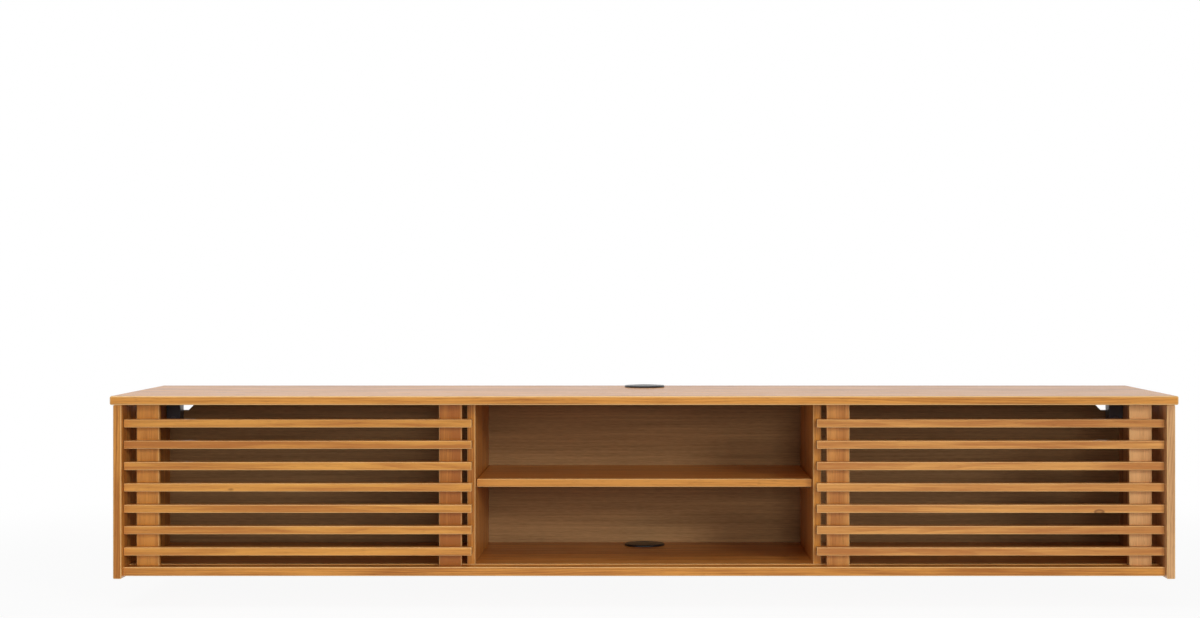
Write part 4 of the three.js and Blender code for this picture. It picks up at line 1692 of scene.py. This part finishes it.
@dataclass
class Studio:
    """The camera, the pale floor, the lamps and the white surroundings."""

    camera_place: Triple = (0.008, -3.763, 0.483)
    lens: float = 64.36
    sensor: float = 36.0
    shift: Span = (-0.0408, -0.01667)
    floor_height: float = -0.05
    floor_reach: float = 6.0
    floor_colour: str = "#f2f2f2"
    clear_colour: str = "#ffffff"
    clear_radius: Span = (1.1, 2.2)
    shadow_share: float = 0.07
    ambient: float = 0.15
    lamps: tuple[Lamp, ...] = (
        Lamp("key", (5.4, -9.0, 2.9), (0.0, 0.0, 0.15), (2.6, 1.4), 325, glossy=False),
        Lamp("front", (0.9, -9.0, 1.3), (0.0, 0.0, 0.15), (1.8, 1.2), 130, glossy=False),
        Lamp("overhead", (-0.6, -0.9, 2.6), (-0.1, -0.1, 0.3), (3.4, 1.8), 38),
    )

    def build(self) -> None:
        """Sets the picture up."""
        bpy.context.scene.view_settings.view_transform = "Standard"
        self.camera()
        self.floor()
        self.world()
        for lamp in self.lamps:
            lamp.hang()

    def camera(self) -> None:
        """The camera at the photograph's viewing point, level and with its picture shifted."""
        data = bpy.data.cameras.new("camera")
        data.sensor_fit = "HORIZONTAL"
        data.sensor_width = self.sensor
        data.lens = self.lens
        data.shift_x, data.shift_y = self.shift
        camera = bpy.data.objects.new("camera", data)
        camera.location = self.camera_place
        camera.rotation_euler = (math.pi / 2, 0, 0)
        bpy.context.scene.collection.objects.link(camera)
        bpy.context.scene.camera = camera

    def seen(self, shader: Shader) -> Value:
        """1 on rays from the camera, mirrors and glass, which see the bare white.

        Args:
            shader: The node tree.

        Returns:
            The mask.
        """
        paths = shader.add("LightPath").socket.node.outputs
        names = ("Is Camera Ray", "Is Glossy Ray", "Is Transmission Ray")
        camera, glossy, through = (Value(shader, paths[name]) for name in names)
        return shader.maths("MAXIMUM", shader.maths("MAXIMUM", camera, glossy), through)

    def floor(self) -> None:
        """A pale floor that keeps the shadow near the object and fades to white round it."""
        reach = self.floor_reach
        corners = np.array([(-reach, -reach), (reach, -reach), (reach, reach), (-reach, reach)])
        points = np.column_stack([corners, np.full(len(corners), self.floor_height)])
        floor = made("floor", (points, [[0, 1, 2, 3]]))
        material = bpy.data.materials.new("pale_floor")
        shader = Shader(material)
        measure = {0: shader.place()}
        distance = shader.add("VectorMath", {"operation": "LENGTH"}, measure, output="Value")
        clear = shader.step(distance, self.clear_radius)
        shaded = shader.add("BsdfDiffuse", {}, {"Color": srgb(self.floor_colour)})
        white = shader.add("Emission", {}, {"Color": srgb(self.clear_colour), "Strength": 1.0})
        share = self.seen(shader) * (1 - self.shadow_share + self.shadow_share * clear)
        ground = shader.add("MixShader", {}, {0: share, 1: shaded, 2: white})
        shader.add("OutputMaterial", {}, {"Surface": ground})
        floor.data.materials.append(material)

    def world(self) -> None:
        """White surroundings that light the object at a plain level."""
        world = bpy.data.worlds.new("studio")
        bpy.context.scene.world = world
        shader = Shader(world)
        strength = self.ambient + (1 - self.ambient) * self.seen(shader)
        inputs = {"Color": srgb(self.clear_colour), "Strength": strength}
        ground = shader.add("Background", {}, inputs)
        shader.add("OutputWorld", {}, {"Surface": ground})


def main() -> None:
    """Builds the studio and then the console, one sub-assembly after another."""
    logging.basicConfig(level=logging.INFO, format="%(name)s: %(message)s")
    Studio().build()
    timber = Timber(np.random.default_rng(LOG_SEED))
    assemblies = [
        Carcass(timber),
        *(SlidingDoor(timber, side=side) for side in SIDES),
        *(Grommet(timber, level=level) for level in LEVELS),
        *(Hanger(timber, side=side) for side in SIDES),
    ]
    for assembly in assemblies:
        assembly.build()
        LOG.info("%s: %d pieces", type(assembly).__name__, len(assembly.pieces))


if __name__ == "__main__":
    main()
